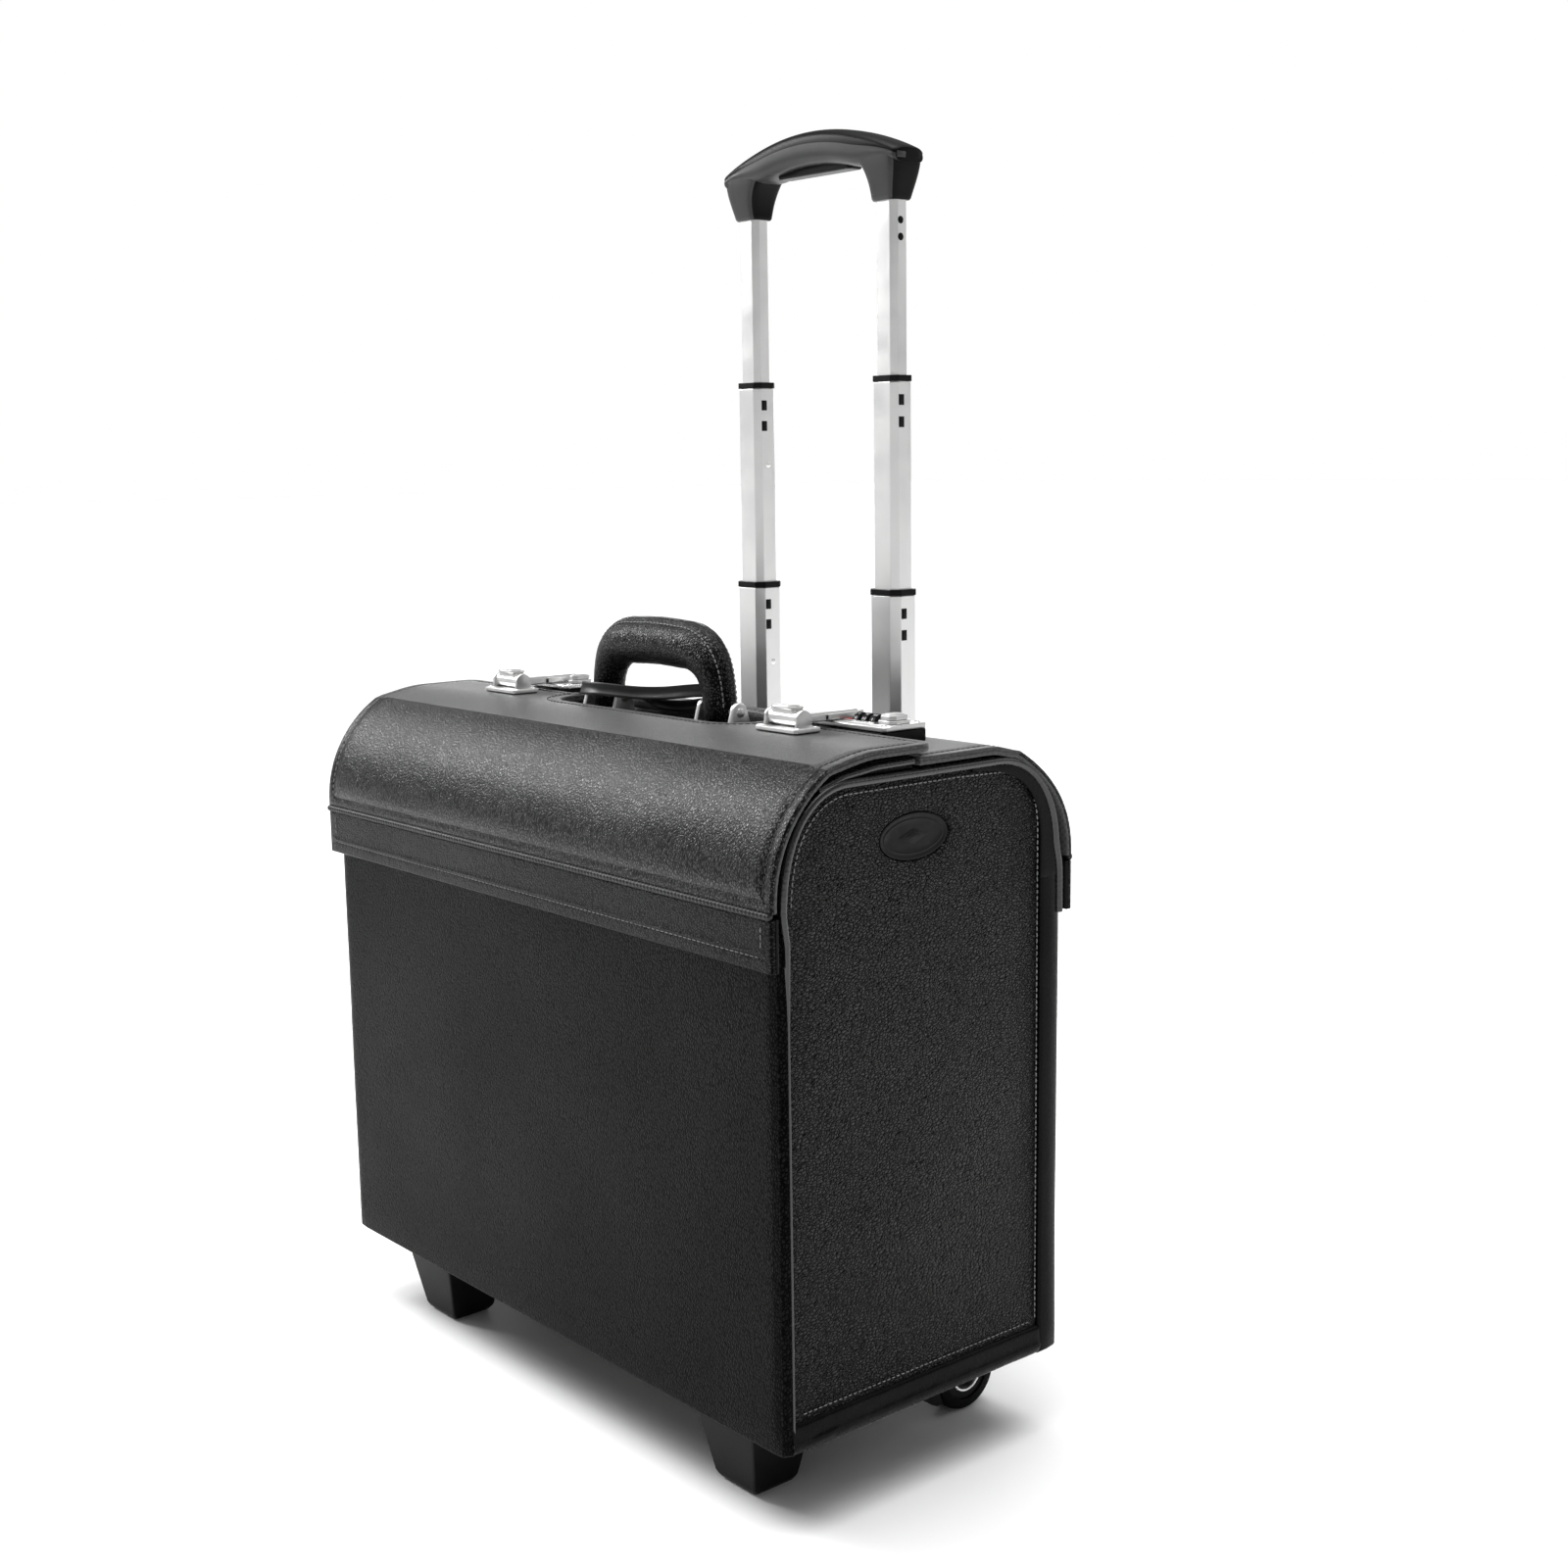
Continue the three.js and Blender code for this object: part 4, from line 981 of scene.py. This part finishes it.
def handle_radius(share):
    """Thin at the ears, full in the grip."""
    near = min(share, 1 - share)
    fat = 1 / (1 + math.exp(-(near - 0.20) * 26))
    return 10.0 + 3.9 * fat - 1.2 * math.exp(-(near / 0.02) ** 2)


def handle_section(i, share):
    """Padded section with a sewn flange outside and crimps inside the bends; angle 0 is out."""
    angle = angles(HANDLE_N)
    off = (angle - SEWN_EDGE + math.pi) % ROUND - math.pi
    flange = 0.14 * np.exp(-(np.abs(off) / 0.46) ** 3)
    pinch = 0.06 * sum(np.exp(-((off - line) / 0.10) ** 2) for line in (STITCH_OFF, -STITCH_OFF))
    split = 0.035 * np.exp(-(off / 0.05) ** 2)
    inner = np.exp(-((np.abs(off) - math.pi) / 0.9) ** 2)
    bend = math.exp(-((min(share, 1 - share) - 0.20) / 0.07) ** 2)
    crimp = 0.022 * bend * inner * math.sin(i * 1.9 + 0.7 * math.sin(i * 0.5))
    r = handle_radius(share) * (1 + flange - pinch - split + crimp)
    return stack(r * np.sin(angle) * 0.98, r * np.cos(angle))


half = chain([(-57.4, 418.8), (-57.0, 428.0)],
             bezier((-57, 428), (-56, 446), (-51, 464.8), (-24, 464.6), 30), [(-12, 465.2)])
arch = chain(half, [(0, 465.5)], (half * (-1, 1))[::-1])
path = walk(stack(arch[:, 0], np.full(len(arch), HANDLE_Y), arch[:, 1]), 1.6)
tangent = frames(path, (-1, 0, 0))[0]
count = len(path)
rear = np.array([0, 1.0, 0])
opening = (0, HANDLE_Y, 430.0)


def outward(i):
    """Direction out of the handle's opening at a station."""
    out = unit(np.cross(tangent[i], rear))
    return -out if np.dot(out, path[i] - opening) < 0 else out


points, faces = [], skin(count, HANDLE_N, caps=False)
for i in range(count):
    section = handle_section(i, i / (count - 1))
    points.extend((path[i] + rear * section[:, 0:1] + outward(i) * section[:, 1:2]).tolist())
for start in (0, (count - 1) * HANDLE_N):
    # Each leg ends in a rounded cap.
    ring = np.array(points[start:start + HANDLE_N])
    middle, first = ring.mean(0), len(points)
    points.extend((middle + (ring - middle) * 0.8 + (0, 0, -1.4)).tolist())
    points.append((middle + (0, 0, -1.8)).tolist())
    for k in range(HANDLE_N):
        n = (k + 1) % HANDLE_N
        faces += [[start + k, start + n, first + n, first + k],
                  [first + k, first + n, first + HANDLE_N]]
wrap = make("handle_wrap", points, faces, [WRAP], "handle", "leather", ("carry_handle",), None, 70)
stitches = Batch()
for off in (STITCH_OFF, -STITCH_OFF):
    line, normals = [], []
    for i in range(6, count - 6):
        n = outward(i) * math.cos(SEWN_EDGE + off) + rear * math.sin(SEWN_EDGE + off)
        line.append(path[i] + n * handle_radius(i / (count - 1)) * 0.985)
        normals.append(n)
    sew(stitches, line, normals, pitch=3.4, length=2.5, r=0.5, lift=0.2)
stitches.finish("handle_stitches", [THREAD], "handle", "leather_trim")


# ------------------------------------------------------------------ tag strap
def strap(name, route, width, thick, tilt, stands_for=()):
    """A flat strap, with a low ridge inside each edge, along a smooth curve through the route's
    points.
    """
    route = np.array(route, float)
    ext = np.vstack([2 * route[0] - route[1], route, 2 * route[-1] - route[-2]])
    points = []
    for q in np.linspace(0, 1, 90):
        f = q * (len(route) - 1)
        i = min(int(f), len(route) - 2)
        u = f - i
        p0, p1, p2, p3 = ext[i:i + 4]
        points.append(0.5 * ((2 * p1) + (p2 - p0) * u + (2 * p0 - 5 * p1 + 4 * p2 - p3) * u ** 2
                             + (3 * p1 - p0 - 3 * p2 + p3) * u ** 3))
    points = walk(points, 1.5)

    def section(i, s):
        w, t = width / 2 * min(1.0, 0.55 + 12 * min(s, 1 - s)), thick / 2
        lean = math.radians(tilt * math.sin(s * math.pi))
        outline = np.array([(-t, -w + 0.6), (-t * 0.6, -w), (t * 0.6, -w), (t, -w + 0.6),
                            (t * 1.15, -w * 0.62), (t * 0.8, -w * 0.55), (t, 0),
                            (t * 0.8, w * 0.55), (t * 1.15, w * 0.62), (t, w - 0.6), (t * 0.6, w),
                            (-t * 0.6, w), (-t, w - 0.6), (-t, 0)])
        turn = np.array([[math.cos(lean), -math.sin(lean)], [math.sin(lean), math.cos(lean)]])
        return outline @ turn.T

    sweep(name, points, section, (0, 0, 1), [STRAP], "strap", stands_for, sharp=60)
    return points


path = strap("tag_strap_upper", [(-75, 6, 430), (-76, -4, 431), (-72, -14, 432.5),
                                 (-62, -18.5, 433.6), (-50, -18.5, 434), (-38, -14, 433.4),
                                 (-22, -6, 432.4), (-4, 0, 433.2), (14, 4.5, 435.4),
                                 (28, 7.5, 436.6), (40, 9.5, 435.4), (46, 11.5, 433)],
             8.2, 1.7, 10, ("tag_strap",))
_, across, ups = frames(path, (0, 0, 1))
bits = Batch()
for offset in (-3.1, 3.1):
    sewn = slice(4, 34)
    sew(bits, path[sewn] - across[sewn] * 0.95 + ups[sewn] * offset, -across[sewn], pitch=3.2,
        length=2.3, r=0.28, lift=0.05)
bits.finish("tag_strap_stitches", [THREAD_DARK], "strap", "leather_trim")
strap("tag_strap_lower", [(-75, 8, 428), (-68, 11, 428), (-58, 12.5, 428.4), (-46, 12, 428.6),
                          (-34, 8, 428), (-22, 5, 426.4), (-6, 5, 425.2), (12, 7, 426.4),
                          (30, 9.5, 429.4), (42, 11, 431.4)], 6.8, 1.5, -8)
snap = Batch()
for i, r in ((30, 2.0), (len(path) - 24, 2.4)):
    snap.lathe(path[i] - across[i] * 0.7, -across[i],
               [(0, 0), (r, 0), (r, 0.5), (r * 0.75, 1.0), (r * 0.4, 1.15), (0, 1.2)], 20)
snap.finish("tag_strap_snap", [NICKEL], "strap", "nickel")

# ------------------------------------------------------------------ handle brackets and latches
for side, sign in SIDES:
    x = sign * PIN_X
    ears = Batch()
    ears.block((x - 18, HANDLE_Y - 13, 405.3), (x + 18, HANDLE_Y + 13, 408.3), 0.8)
    outline = chain([(-11.6, 406.8), (11.6, 406.8), (10.8, 412)],
                    arc(0, PIN_Z + 0.4, 5.6, 12, 168, 16), [(-10.8, 412)])
    for inner in (-18, 14):
        ears.prism(outline, 0, 4, 1.1, 0, upright(x + inner, HANDLE_Y))
    ears.finish(f"handle_ears_{side}", [NICKEL_DULL], "case", "nickel",
                (f"handle_bracket_{side}",))
    pin = Batch()
    for out in (-1, 1):
        pin.lathe((x + out * 17.6, HANDLE_Y, PIN_Z), (out, 0, 0),
                  [(0, -4), (2.5, -4), (2.5, 0.4), (2.9, 0.4), (2.8, 0.7), (2.2, 1.0), (0, 1.1)])
    pin.lathe((x - 15, HANDLE_Y, PIN_Z), (1, 0, 0), [(0, 0), (2.5, 0), (2.5, 30), (0, 30)], 20)
    pin.finish(f"handle_rivets_{side}", [NICKEL_DULL], "case", "steel", (f"handle_pin_{side}",))


def screw(batch, x, y, z, r, turn):
    """Countersunk head with a slot."""
    batch.lathe((x, y, z - 1), (0, 0, 1), [(0, 0), (r, 0), (r, 1.15), (r * 0.8, 1.45), (0, 1.6)],
                20)
    batch.block((x - r * 0.8, y - 0.28, z + 0.35), (x + r * 0.8, y + 0.28, z + 0.68), 0, 1,
                Matrix.Rotation(math.radians(turn), 3, "Z"))


def chamfered(half_a, half_b, c):
    return np.array([(-half_a + c, -half_b), (half_a - c, -half_b), (half_a, -half_b + c),
                     (half_a, half_b - c), (half_a - c, half_b), (-half_a + c, half_b),
                     (-half_a, half_b - c), (-half_a, -half_b + c)])


def stadium(half_l, r):
    return chain(arc(half_l - r, 0, r, -90, 90), arc(-half_l + r, 0, r, 90, 270))


cheek = chain([(-6.4, 427), (6.4, 427)], arc(0, 432.6, 5.6, -8, 188, 18))
for side, sign in SIDES:
    cx = sign * LATCH_X
    base = Batch()
    base.prism(chamfered(18, 10, 1.5) + (cx, LATCH_Y), 425.3, LATCH_Z, 0.8)
    for x in (-14.6, 12.2):
        base.prism(cheek, 0, 2.4, 0.7, 0, upright(cx + x, LATCH_Y))
    for x, y in rect(-16.0, -6.6, 16.0, 6.6)[[0, 1, 3, 2]]:
        screw(base, cx + x * 0.985, LATCH_Y + y, LATCH_Z, 1.5, 20 + 40 * x)
    base.finish(f"latch_plate_{side}", [NICKEL_DULL, BLACK], "front_lid", "nickel",
                (f"latch_base_{side}",))

    arm = Batch()
    arm.lathe((cx - 12, LATCH_Y, 433.0), (1, 0, 0),
              [(0, 0), (4.1, 0), (4.6, 0.5), (4.6, 23.5), (4.1, 24), (0, 24)], 48)
    tongue = [(-6.5, 0), (6.5, 0), (6.5, 27.5), (4.6, 30.8), (-4.6, 30.8), (-6.5, 27.5)]
    for outline, y, low, high, bevel in (
            (np.array(tongue), 0, 429.2, 433.2, 0.7),
            (rect(-6.5, -21.5, 6.5, 2), 0, 429.25, 433.15, 0.5),
            (rect(-4.6, -12, 4.6, 26), 0, 432.8, 433.9, 0.45),
            (chamfered(9.6, 4.2, 1.2), LATCH_Y, 435.6, 438.3, 0.5),
            (stadium(11.0, 5.4), LATCH_Y, 438.0, 440.0, 0.8),
            (stadium(8.6, 3.4), LATCH_Y, 439.8, 440.5, 0.3)):
        arm.prism(outline + (cx, y), low, high, bevel)
    arm.finish(f"latch_arm_{side}", [NICKEL_DULL], f"hasp_{side}", "nickel",
               (f"latch_hasp_{side}",))

# Combination lock on the right: plinth and plate with an opening for the dials.
window = 1.5 * DIAL_PITCH + 0.9
hole = rect(DIAL_X - window, LOCK_Y - 7, DIAL_X + window, LOCK_Y + 7)[[0, 3, 2, 1]]
plate = chamfered((LOCK_X1 - LOCK_X0) / 2, 17, 2) + ((LOCK_X0 + LOCK_X1) / 2, LOCK_Y)
for name, z, rim, material, slot, node in (
        ("lock_top", PLATE_Z, edge(3.0, 0.8), NICKEL_DULL, "nickel", "lock_plate"),
        ("lock_base", 425.5, edge(7.2, 0.8, steps=2), BLACK, "black_plastic", "lock_plinth")):
    panel(name, [plate, hole], on_top(z), rim, (12.0, 8.0), [material, material], "case", slot,
          (node,))
trim = Batch()
for x, y in ((LOCK_X0 + 5, 9.5), (LOCK_X1 - 4.6, 9.2), (LOCK_X0 + 5, 34.5), (LOCK_X1 - 4.6, 34.8)):
    screw(trim, x, y, PLATE_Z, 1.8, x * 3)
trim.block((148.7, 13.2, 428.7), (150.4, 19.4, 429.6), 0.25, 2)      # index mark
for k in (-1, 1):
    trim.prism(rect(-window - 0.6, -0.8, window + 0.6, 0.8) + (DIAL_X, LOCK_Y + k * 8.6),
               428.6, 429.5, 0.35)
trim.prism(rect(-10.6, -11.0, 10.2, 11.0) + (LOCK_X1 - 10.4, LOCK_Y), 428.4, 429.05, 0.3)
trim.finish("lock_trim", [NICKEL, BLACK, RED], "case", "nickel")

for k in range(3):
    x = DIAL_X + (k - 1) * DIAL_PITCH
    axle = (x, LOCK_Y, DIAL_Z)
    dial = Batch()
    dial.lathe(axle, (1, 0, 0), [(1.5, -2.6), (5.3, -2.6), (6.0, -2.1), (6.0, 2.1), (5.3, 2.6),
                                 (1.5, 2.6)], 40, closed=True)
    for j in range(10):
        # Grip rib between two numbers, and plain ticks that stand for each number.
        dial.block((x - 2.3, LOCK_Y - 0.35, DIAL_Z + 5.8), (x + 2.3, LOCK_Y + 0.35, DIAL_Z + 6.25),
                   0.12, 0, Matrix.Rotation(ROUND * j / 10, 3, "X"), axle)
        ticks = (j + k) % 3
        for q in range(1 + ticks):
            at = x + (q - ticks / 2) * 1.1
            dial.block((at - 0.22, LOCK_Y - 0.85, DIAL_Z + 5.9),
                       (at + 0.22, LOCK_Y + 0.85, DIAL_Z + 6.06), 0.05, 1,
                       Matrix.Rotation(ROUND * (j + 0.5) / 10, 3, "X"), axle)
    dial.finish(f"dial_wheel_{k + 1}", [BLACK, MARK], f"dial_{k + 1}", "black_plastic",
                (f"lock_dial_{k + 1}",))

for name, body, cx, half_w in (("lock_release", "lock_slide", LOCK_X1 - 9.6, 7.6),
                               ("catch_release", "catch_slide", -LATCH_X + 14.4, 5.2)):
    slide = Batch()
    for inner, c, low, high, bevel in ((0, 3.5, 429.1, 431.0, 0.5), (1.3, 2.9, 430.6, 434.1, 1.1),
                                       (3.4, 1.6, 433.6, 434.5, 0.4)):
        slide.prism(chamfered(half_w - inner, 8.5 - inner, c) + (cx, LOCK_Y), low, high, bevel)
    slide.finish(name, [NICKEL_DULL], body, "nickel", (body,))
catch = Batch()
for x, y in ((-155, 9.5), (-123, 9.5), (-155, 34.5), (-123, 34.5)):
    screw(catch, x, y, PLATE_Z, 1.8, x * 3)
catch.finish("catch_screws", [NICKEL, BLACK], "case", "nickel")

# ------------------------------------------------------------------ trolley details
for name, w, d, top, body in STAGES:
    bits = Batch()
    for side, sign in SIDES:
        face = sign * TUBE_X + w / 2
        if name != "upper":
            # Two black catches show in windows of the right facet, just below the collar.
            for drop in (11.0, 24.5):
                mid = np.array([face, TUBE_Y - d * 0.16, top - drop])
                bits.block(mid + (-0.5, -2.2, -3.3), mid + (0.25, 2.2, 3.3), 0.2)
                bits.block(mid + (-0.4, -1.3, -2.2), mid + (0.36, 1.3, 2.2), 0.25)
        if name in ("lower", "middle") and sign < 0:
            bits.lathe((face - 0.55, TUBE_Y, top - 50), (1, 0, 0),
                       [(0, 0), (2.1, 0), (2.1, 0.45), (1.7, 0.65), (0.9, 0.72), (0.7, 0.5),
                        (0, 0.5)], 24, 1)
        if name == "upper" and sign > 0:
            for drop in (25.0, 35.0):
                bits.lathe((face - 0.4, TUBE_Y - 1, top - drop), (1, 0, 0),
                           [(0, 0), (2.3, 0), (2.3, 0.45), (1.8, 0.65), (1.0, 0.72), (0, 0.74)],
                           24, 2)
    bits.finish(f"trolley_{name}_catches", [BLACK, NICKEL, BLACK_GLOSS], body, "black_plastic")


# ------------------------------------------------------------------ trolley grip
def blob(n, a, b, power):
    """Closed superellipse section."""
    c, s = np.cos(angles(n)), np.sin(angles(n))
    return stack(np.sign(c) * np.abs(c) ** (2 / power) * a,
                 np.sign(s) * np.abs(s) ** (2 / power) * b)


# Arched grip: a dark top strip over a paler lower shell, and two legs that hold the tubes.
GRIP_HALF, BAR_N = 82.0, 72
LEG_Z, LEG_H, LEG_N = 731.0, 28.5, 56
rings = []
for share in np.linspace(-1, 1, 61):
    x = GRIP_HALF * math.sin(share * math.pi / 2)
    reach = abs(x) / GRIP_HALF
    top = GRIP_TOP - 18.5 * reach ** 2.0
    thin = min(1.0, max(0.0, (reach - 0.5) / 0.5))
    deep = 21.5 - 11.5 * thin * thin * (3 - 2 * thin)
    close = 1 - 0.12 * max(0, reach - 0.985) / 0.015
    wide, tall = 14.8 * (1 - 0.14 * reach ** 4) * close, deep / 2 * close
    section = blob(BAR_N, wide, tall, 3.6)
    # The top is domed from front to back, and a shallow step runs round at the part line.
    section[:, 1] -= 0.9 * (section[:, 0] / wide) ** 2 * (section[:, 1] > 0)
    section[:, 0] *= 1 - 0.03 * np.exp(-((section[:, 1] - tall * 0.10) / 0.5) ** 2)
    rings.append(stack(np.full(BAR_N, x), TUBE_Y + section[:, 0], top - deep / 2 + section[:, 1]))
bar = Batch()
bar.loft(rings, lambda k: 0 if math.sin(ROUND * (k + 0.5) / BAR_N) > 0.06 else 1)
bar.finish("grip_bar", [BLACK_GLOSS, GREY_GLOSS], "stage_upper", "black_plastic",
           ("trolley_grip",), 60)
for side, sign in SIDES:
    rings = []
    for z in np.linspace(LEG_Z, LEG_Z + LEG_H, 24):
        up = (z - LEG_Z) / LEG_H
        swell = math.sin(up * math.pi / 2)
        inner = 55.6 - 12.5 * (up ** 1.8) ** 1.4
        outer, deep = 76.4 + 6.2 * swell ** 1.3, 8.8 + 4.6 * swell
        if z < LEG_Z + 0.8:
            inner, outer, deep = inner + 0.6, outer - 0.6, deep - 0.6
        half = (outer - inner) / 2
        section = blob(LEG_N, half, deep, 5.0)
        # Two upright grooves set the front face off from the flanks.
        for at in (-0.80, 0.80):
            section[:, 1] *= 1 - 0.05 * np.exp(-((section[:, 0] / half - at) / 0.05) ** 2)
        rings.append(stack(sign * ((inner + outer) / 2 + section[:, 0]), TUBE_Y + section[:, 1],
                           np.full(LEG_N, z)))
    leg = Batch()
    leg.loft(rings, lambda k: 1 if abs(math.cos(ROUND * (k + 0.5) / LEG_N)) < 0.72 else 0)
    leg.finish(f"grip_leg_{side}", [BLACK_GLOSS, GREY_GLOSS], "stage_upper", "black_plastic",
               (), 50)
cover = Batch()
cover.block((81.0, TUBE_Y - 10.5, 754.6), (82.9, TUBE_Y - 3.5, 758.2), 0.4)
cover.finish("grip_inset", [GREY_GLOSS], "stage_upper", "black_plastic")

# ------------------------------------------------------------------ wheels
TREAD = [(21.5, 10), (23.0, 9.0), (23.9, 6.8), (24.0, 5.0), (23.5, 4.4), (23.5, 3.6), (24.0, 3.0)]
for side, sign in SIDES:
    x, out = sign * WHEEL_X, (sign, 0, 0)
    centre = (x, WHEEL_Y, WHEEL_Z)
    tyre = Batch()
    tyre.lathe(centre, (1, 0, 0), [(17, -10)] + [(r, -h) for r, h in TREAD] + TREAD[::-1]
               + [(17, 10)], 56, closed=True)
    tyre.finish(f"tyre_{side}", [SOFT], f"wheel_{side}", "tyre", (f"wheel_tyre_{side}",))
    hub = Batch()
    for n, which, profile in (
            (48, 0, [(3.3, -9), (16.7, -9), (16.7, 9), (12.6, 9), (11.6, 7), (6, 7), (5, 9.4),
                     (3.3, 9.4)]),
            (48, 1, [(10.3, 6.5), (11.6, 7.4), (12.4, 9.3), (11.9, 9.8), (10.9, 9.5),
                     (10.2, 7.4)]),
            (32, 1, [(3.6, 8.8), (5.4, 8.8), (5.4, 9.9), (3.6, 9.9)])):
        hub.lathe(centre, out, profile, n, which, closed=True)
    spoke = x + sign * 6.6
    for k in range(5):
        hub.block((spoke - 0.6, WHEEL_Y - 0.9, WHEEL_Z + 5.2),
                  (spoke + 0.9, WHEEL_Y + 0.9, WHEEL_Z + 10.4), 0.3, 0,
                  Matrix.Rotation(ROUND * k / 5, 3, "X"), centre)
    hub.finish(f"hub_{side}", [BLACK, NICKEL_DULL], f"wheel_{side}", "aluminium",
               (f"wheel_hub_{side}",))

# ------------------------------------------------------------------ frame pieces that stay
# Shades smooth across edges under 32 degrees.
shading = bpy.data.node_groups.new("shade_by_angle", "GeometryNodeTree")
for way in ("INPUT", "OUTPUT"):
    shading.interface.new_socket("Geometry", in_out=way, socket_type="NodeSocketGeometry")
angle = add_node(shading, "GeometryNodeInputMeshEdgeAngle")
steep = add_node(shading, "FunctionNodeCompare",
                 {0: angle.outputs["Unsigned Angle"], 1: math.radians(32)},
                 operation="GREATER_THAN")
smooth = add_node(shading, "GeometryNodeSetShadeSmooth",
                  {"Geometry": add_node(shading, "NodeGroupInput").outputs[0]})
split = add_node(shading, "GeometryNodeSetShadeSmooth",
                 {"Geometry": smooth.outputs[0], "Selection": steep.outputs[0],
                  "Shade Smooth": False}, domain="EDGE")
add_node(shading, "NodeGroupOutput", {0: split.outputs[0]})


def keep(node, material, bevel=0.0):
    """Gives a frame node its finish and softened edges; its mesh and place stay as they are."""
    kept = frame["nodes"][node]
    for spot in kept.material_slots:
        spot.material = material

    def modify(kind, **settings):
        made = kept.modifiers.new(kind.lower(), kind)
        for key, value in settings.items():
            setattr(made, key, value)

    modify("WELD", merge_threshold=0.00001)
    if bevel:
        modify("DECIMATE", decimate_type="DISSOLVE", angle_limit=math.radians(0.5))
        modify("BEVEL", width=bevel * 0.001, segments=2, limit_method="ANGLE",
               angle_limit=math.radians(33))
    modify("NODES", node_group=shading)
    if bevel:
        modify("WEIGHTED_NORMAL", keep_sharp=True, weight=90)


for side, _ in SIDES:
    for name, *_ in STAGES:
        keep(f"trolley_{name}_tube_{side}", ALUMINIUM, 0.5)
        if name != "upper":
            keep(f"trolley_{name}_collar_{side}", BLACK, 0.3)
    keep(f"foot_{side}", BLACK, 2.0)
    keep(f"wheel_housing_{side}", BLACK, 1.2)
    keep(f"wheel_axle_{side}", STEEL)
for node, material, bevel in (
        ("trolley_back_plate", BLACK, 0.8), ("trolley_clamp_upper", BLACK, 0.8),
        ("trolley_clamp_lower", BLACK, 0.8), ("release_bar", BLACK_GLOSS, 0.5),
        ("dial_axle", STEEL, 0.0), ("catch_plinth", BLACK, 0.5), ("catch_plate", NICKEL, 0.3)):
    keep(node, material, bevel)

# ------------------------------------------------------------------ camera, light and floor
CAMERA_AT = (1.00596, -0.77637, 0.57782)    # metres
AZIMUTH, ELEVATION, ROLL = 49.67, 9.13, -0.78
lens = bpy.data.cameras.new("camera")
lens.lens, lens.sensor_width, lens.clip_end = 46.91, 36.0, 50.0
camera = show("camera", lens)
az, el, roll = np.radians((AZIMUTH, ELEVATION, ROLL))
ahead = np.array([-math.sin(az) * math.cos(el), math.cos(az) * math.cos(el), -math.sin(el)])
level = unit(np.cross(ahead, (0, 0, 1)))
over = np.cross(level, ahead)
right = math.cos(roll) * level + math.sin(roll) * over
up = math.cos(roll) * over - math.sin(roll) * level
camera.matrix_world = Matrix(np.vstack([stack(right, up, -ahead, CAMERA_AT), (0, 0, 0, 1)]))
bpy.context.scene.camera = camera

for name, place, target, size, power in (
        ("overhead", (0.1, -0.2, 2.6), (0, 0, 0.3), (1.6, 1.4), 8),
        ("key_left", (-1.70, -0.86, 1.70), (0, -0.09, 0.4), (0.5, 1.3), 46),
        ("back_left", (-2.0, 1.7, 0.85), (0, 0, 0.42), (1.4, 0.5), 10),
        ("behind", (1.2, 2.2, 1.5), (0, 0, 0.5), (1.6, 0.7), 6)):
    data = bpy.data.lights.new(name, "AREA")
    data.shape = "RECTANGLE"
    data.size, data.size_y = size
    data.energy = power
    lamp = show(name, data)
    lamp.location = place
    lamp.rotation_euler = (Vector(target) - Vector(place)).to_track_quat("-Z", "Y").to_euler()
    lamp.visible_camera = False

# Studio: white to the camera, dim round the sides and bright overhead for everything else.
world = bpy.data.worlds.new("studio")
bpy.context.scene.world = world
world.use_nodes = True
tree = world.node_tree
place = add_node(tree, "ShaderNodeTexCoord").outputs["Generated"]
height = add_node(tree, "ShaderNodeSeparateXYZ", {0: place}).outputs["Z"]
glow = add_node(tree, "ShaderNodeMapRange", {"Value": height, "From Min": 0.80, "From Max": 0.98,
                                             "To Min": 0.28, "To Max": 5.5}).outputs[0]
lit, seen = (add_node(tree, "ShaderNodeBackground", {"Color": (1, 1, 1, 1), "Strength": strength})
             for strength in (glow, 1.0))
looked_at = add_node(tree, "ShaderNodeLightPath").outputs["Is Camera Ray"]
mixed = add_node(tree, "ShaderNodeMixShader", {0: looked_at, 1: lit.outputs[0],
                                               2: seen.outputs[0]})
feed(tree, tree.nodes["World Output"].inputs["Surface"], mixed.outputs[0])

floor_mesh = bpy.data.meshes.new("floor")
floor_mesh.from_pydata([(-30, -30, 0), (30, -30, 0), (30, 30, 0), (-30, 30, 0)], [],
                       [(0, 1, 2, 3)])
floor_mesh.materials.append(Shader("floor", (0.93, 0.93, 0.93), 0.85).material)
show("floor", floor_mesh)

bpy.context.scene.view_settings.view_transform = "Standard"
bpy.context.scene.view_settings.look = "None"

bpy.context.view_layer.update()
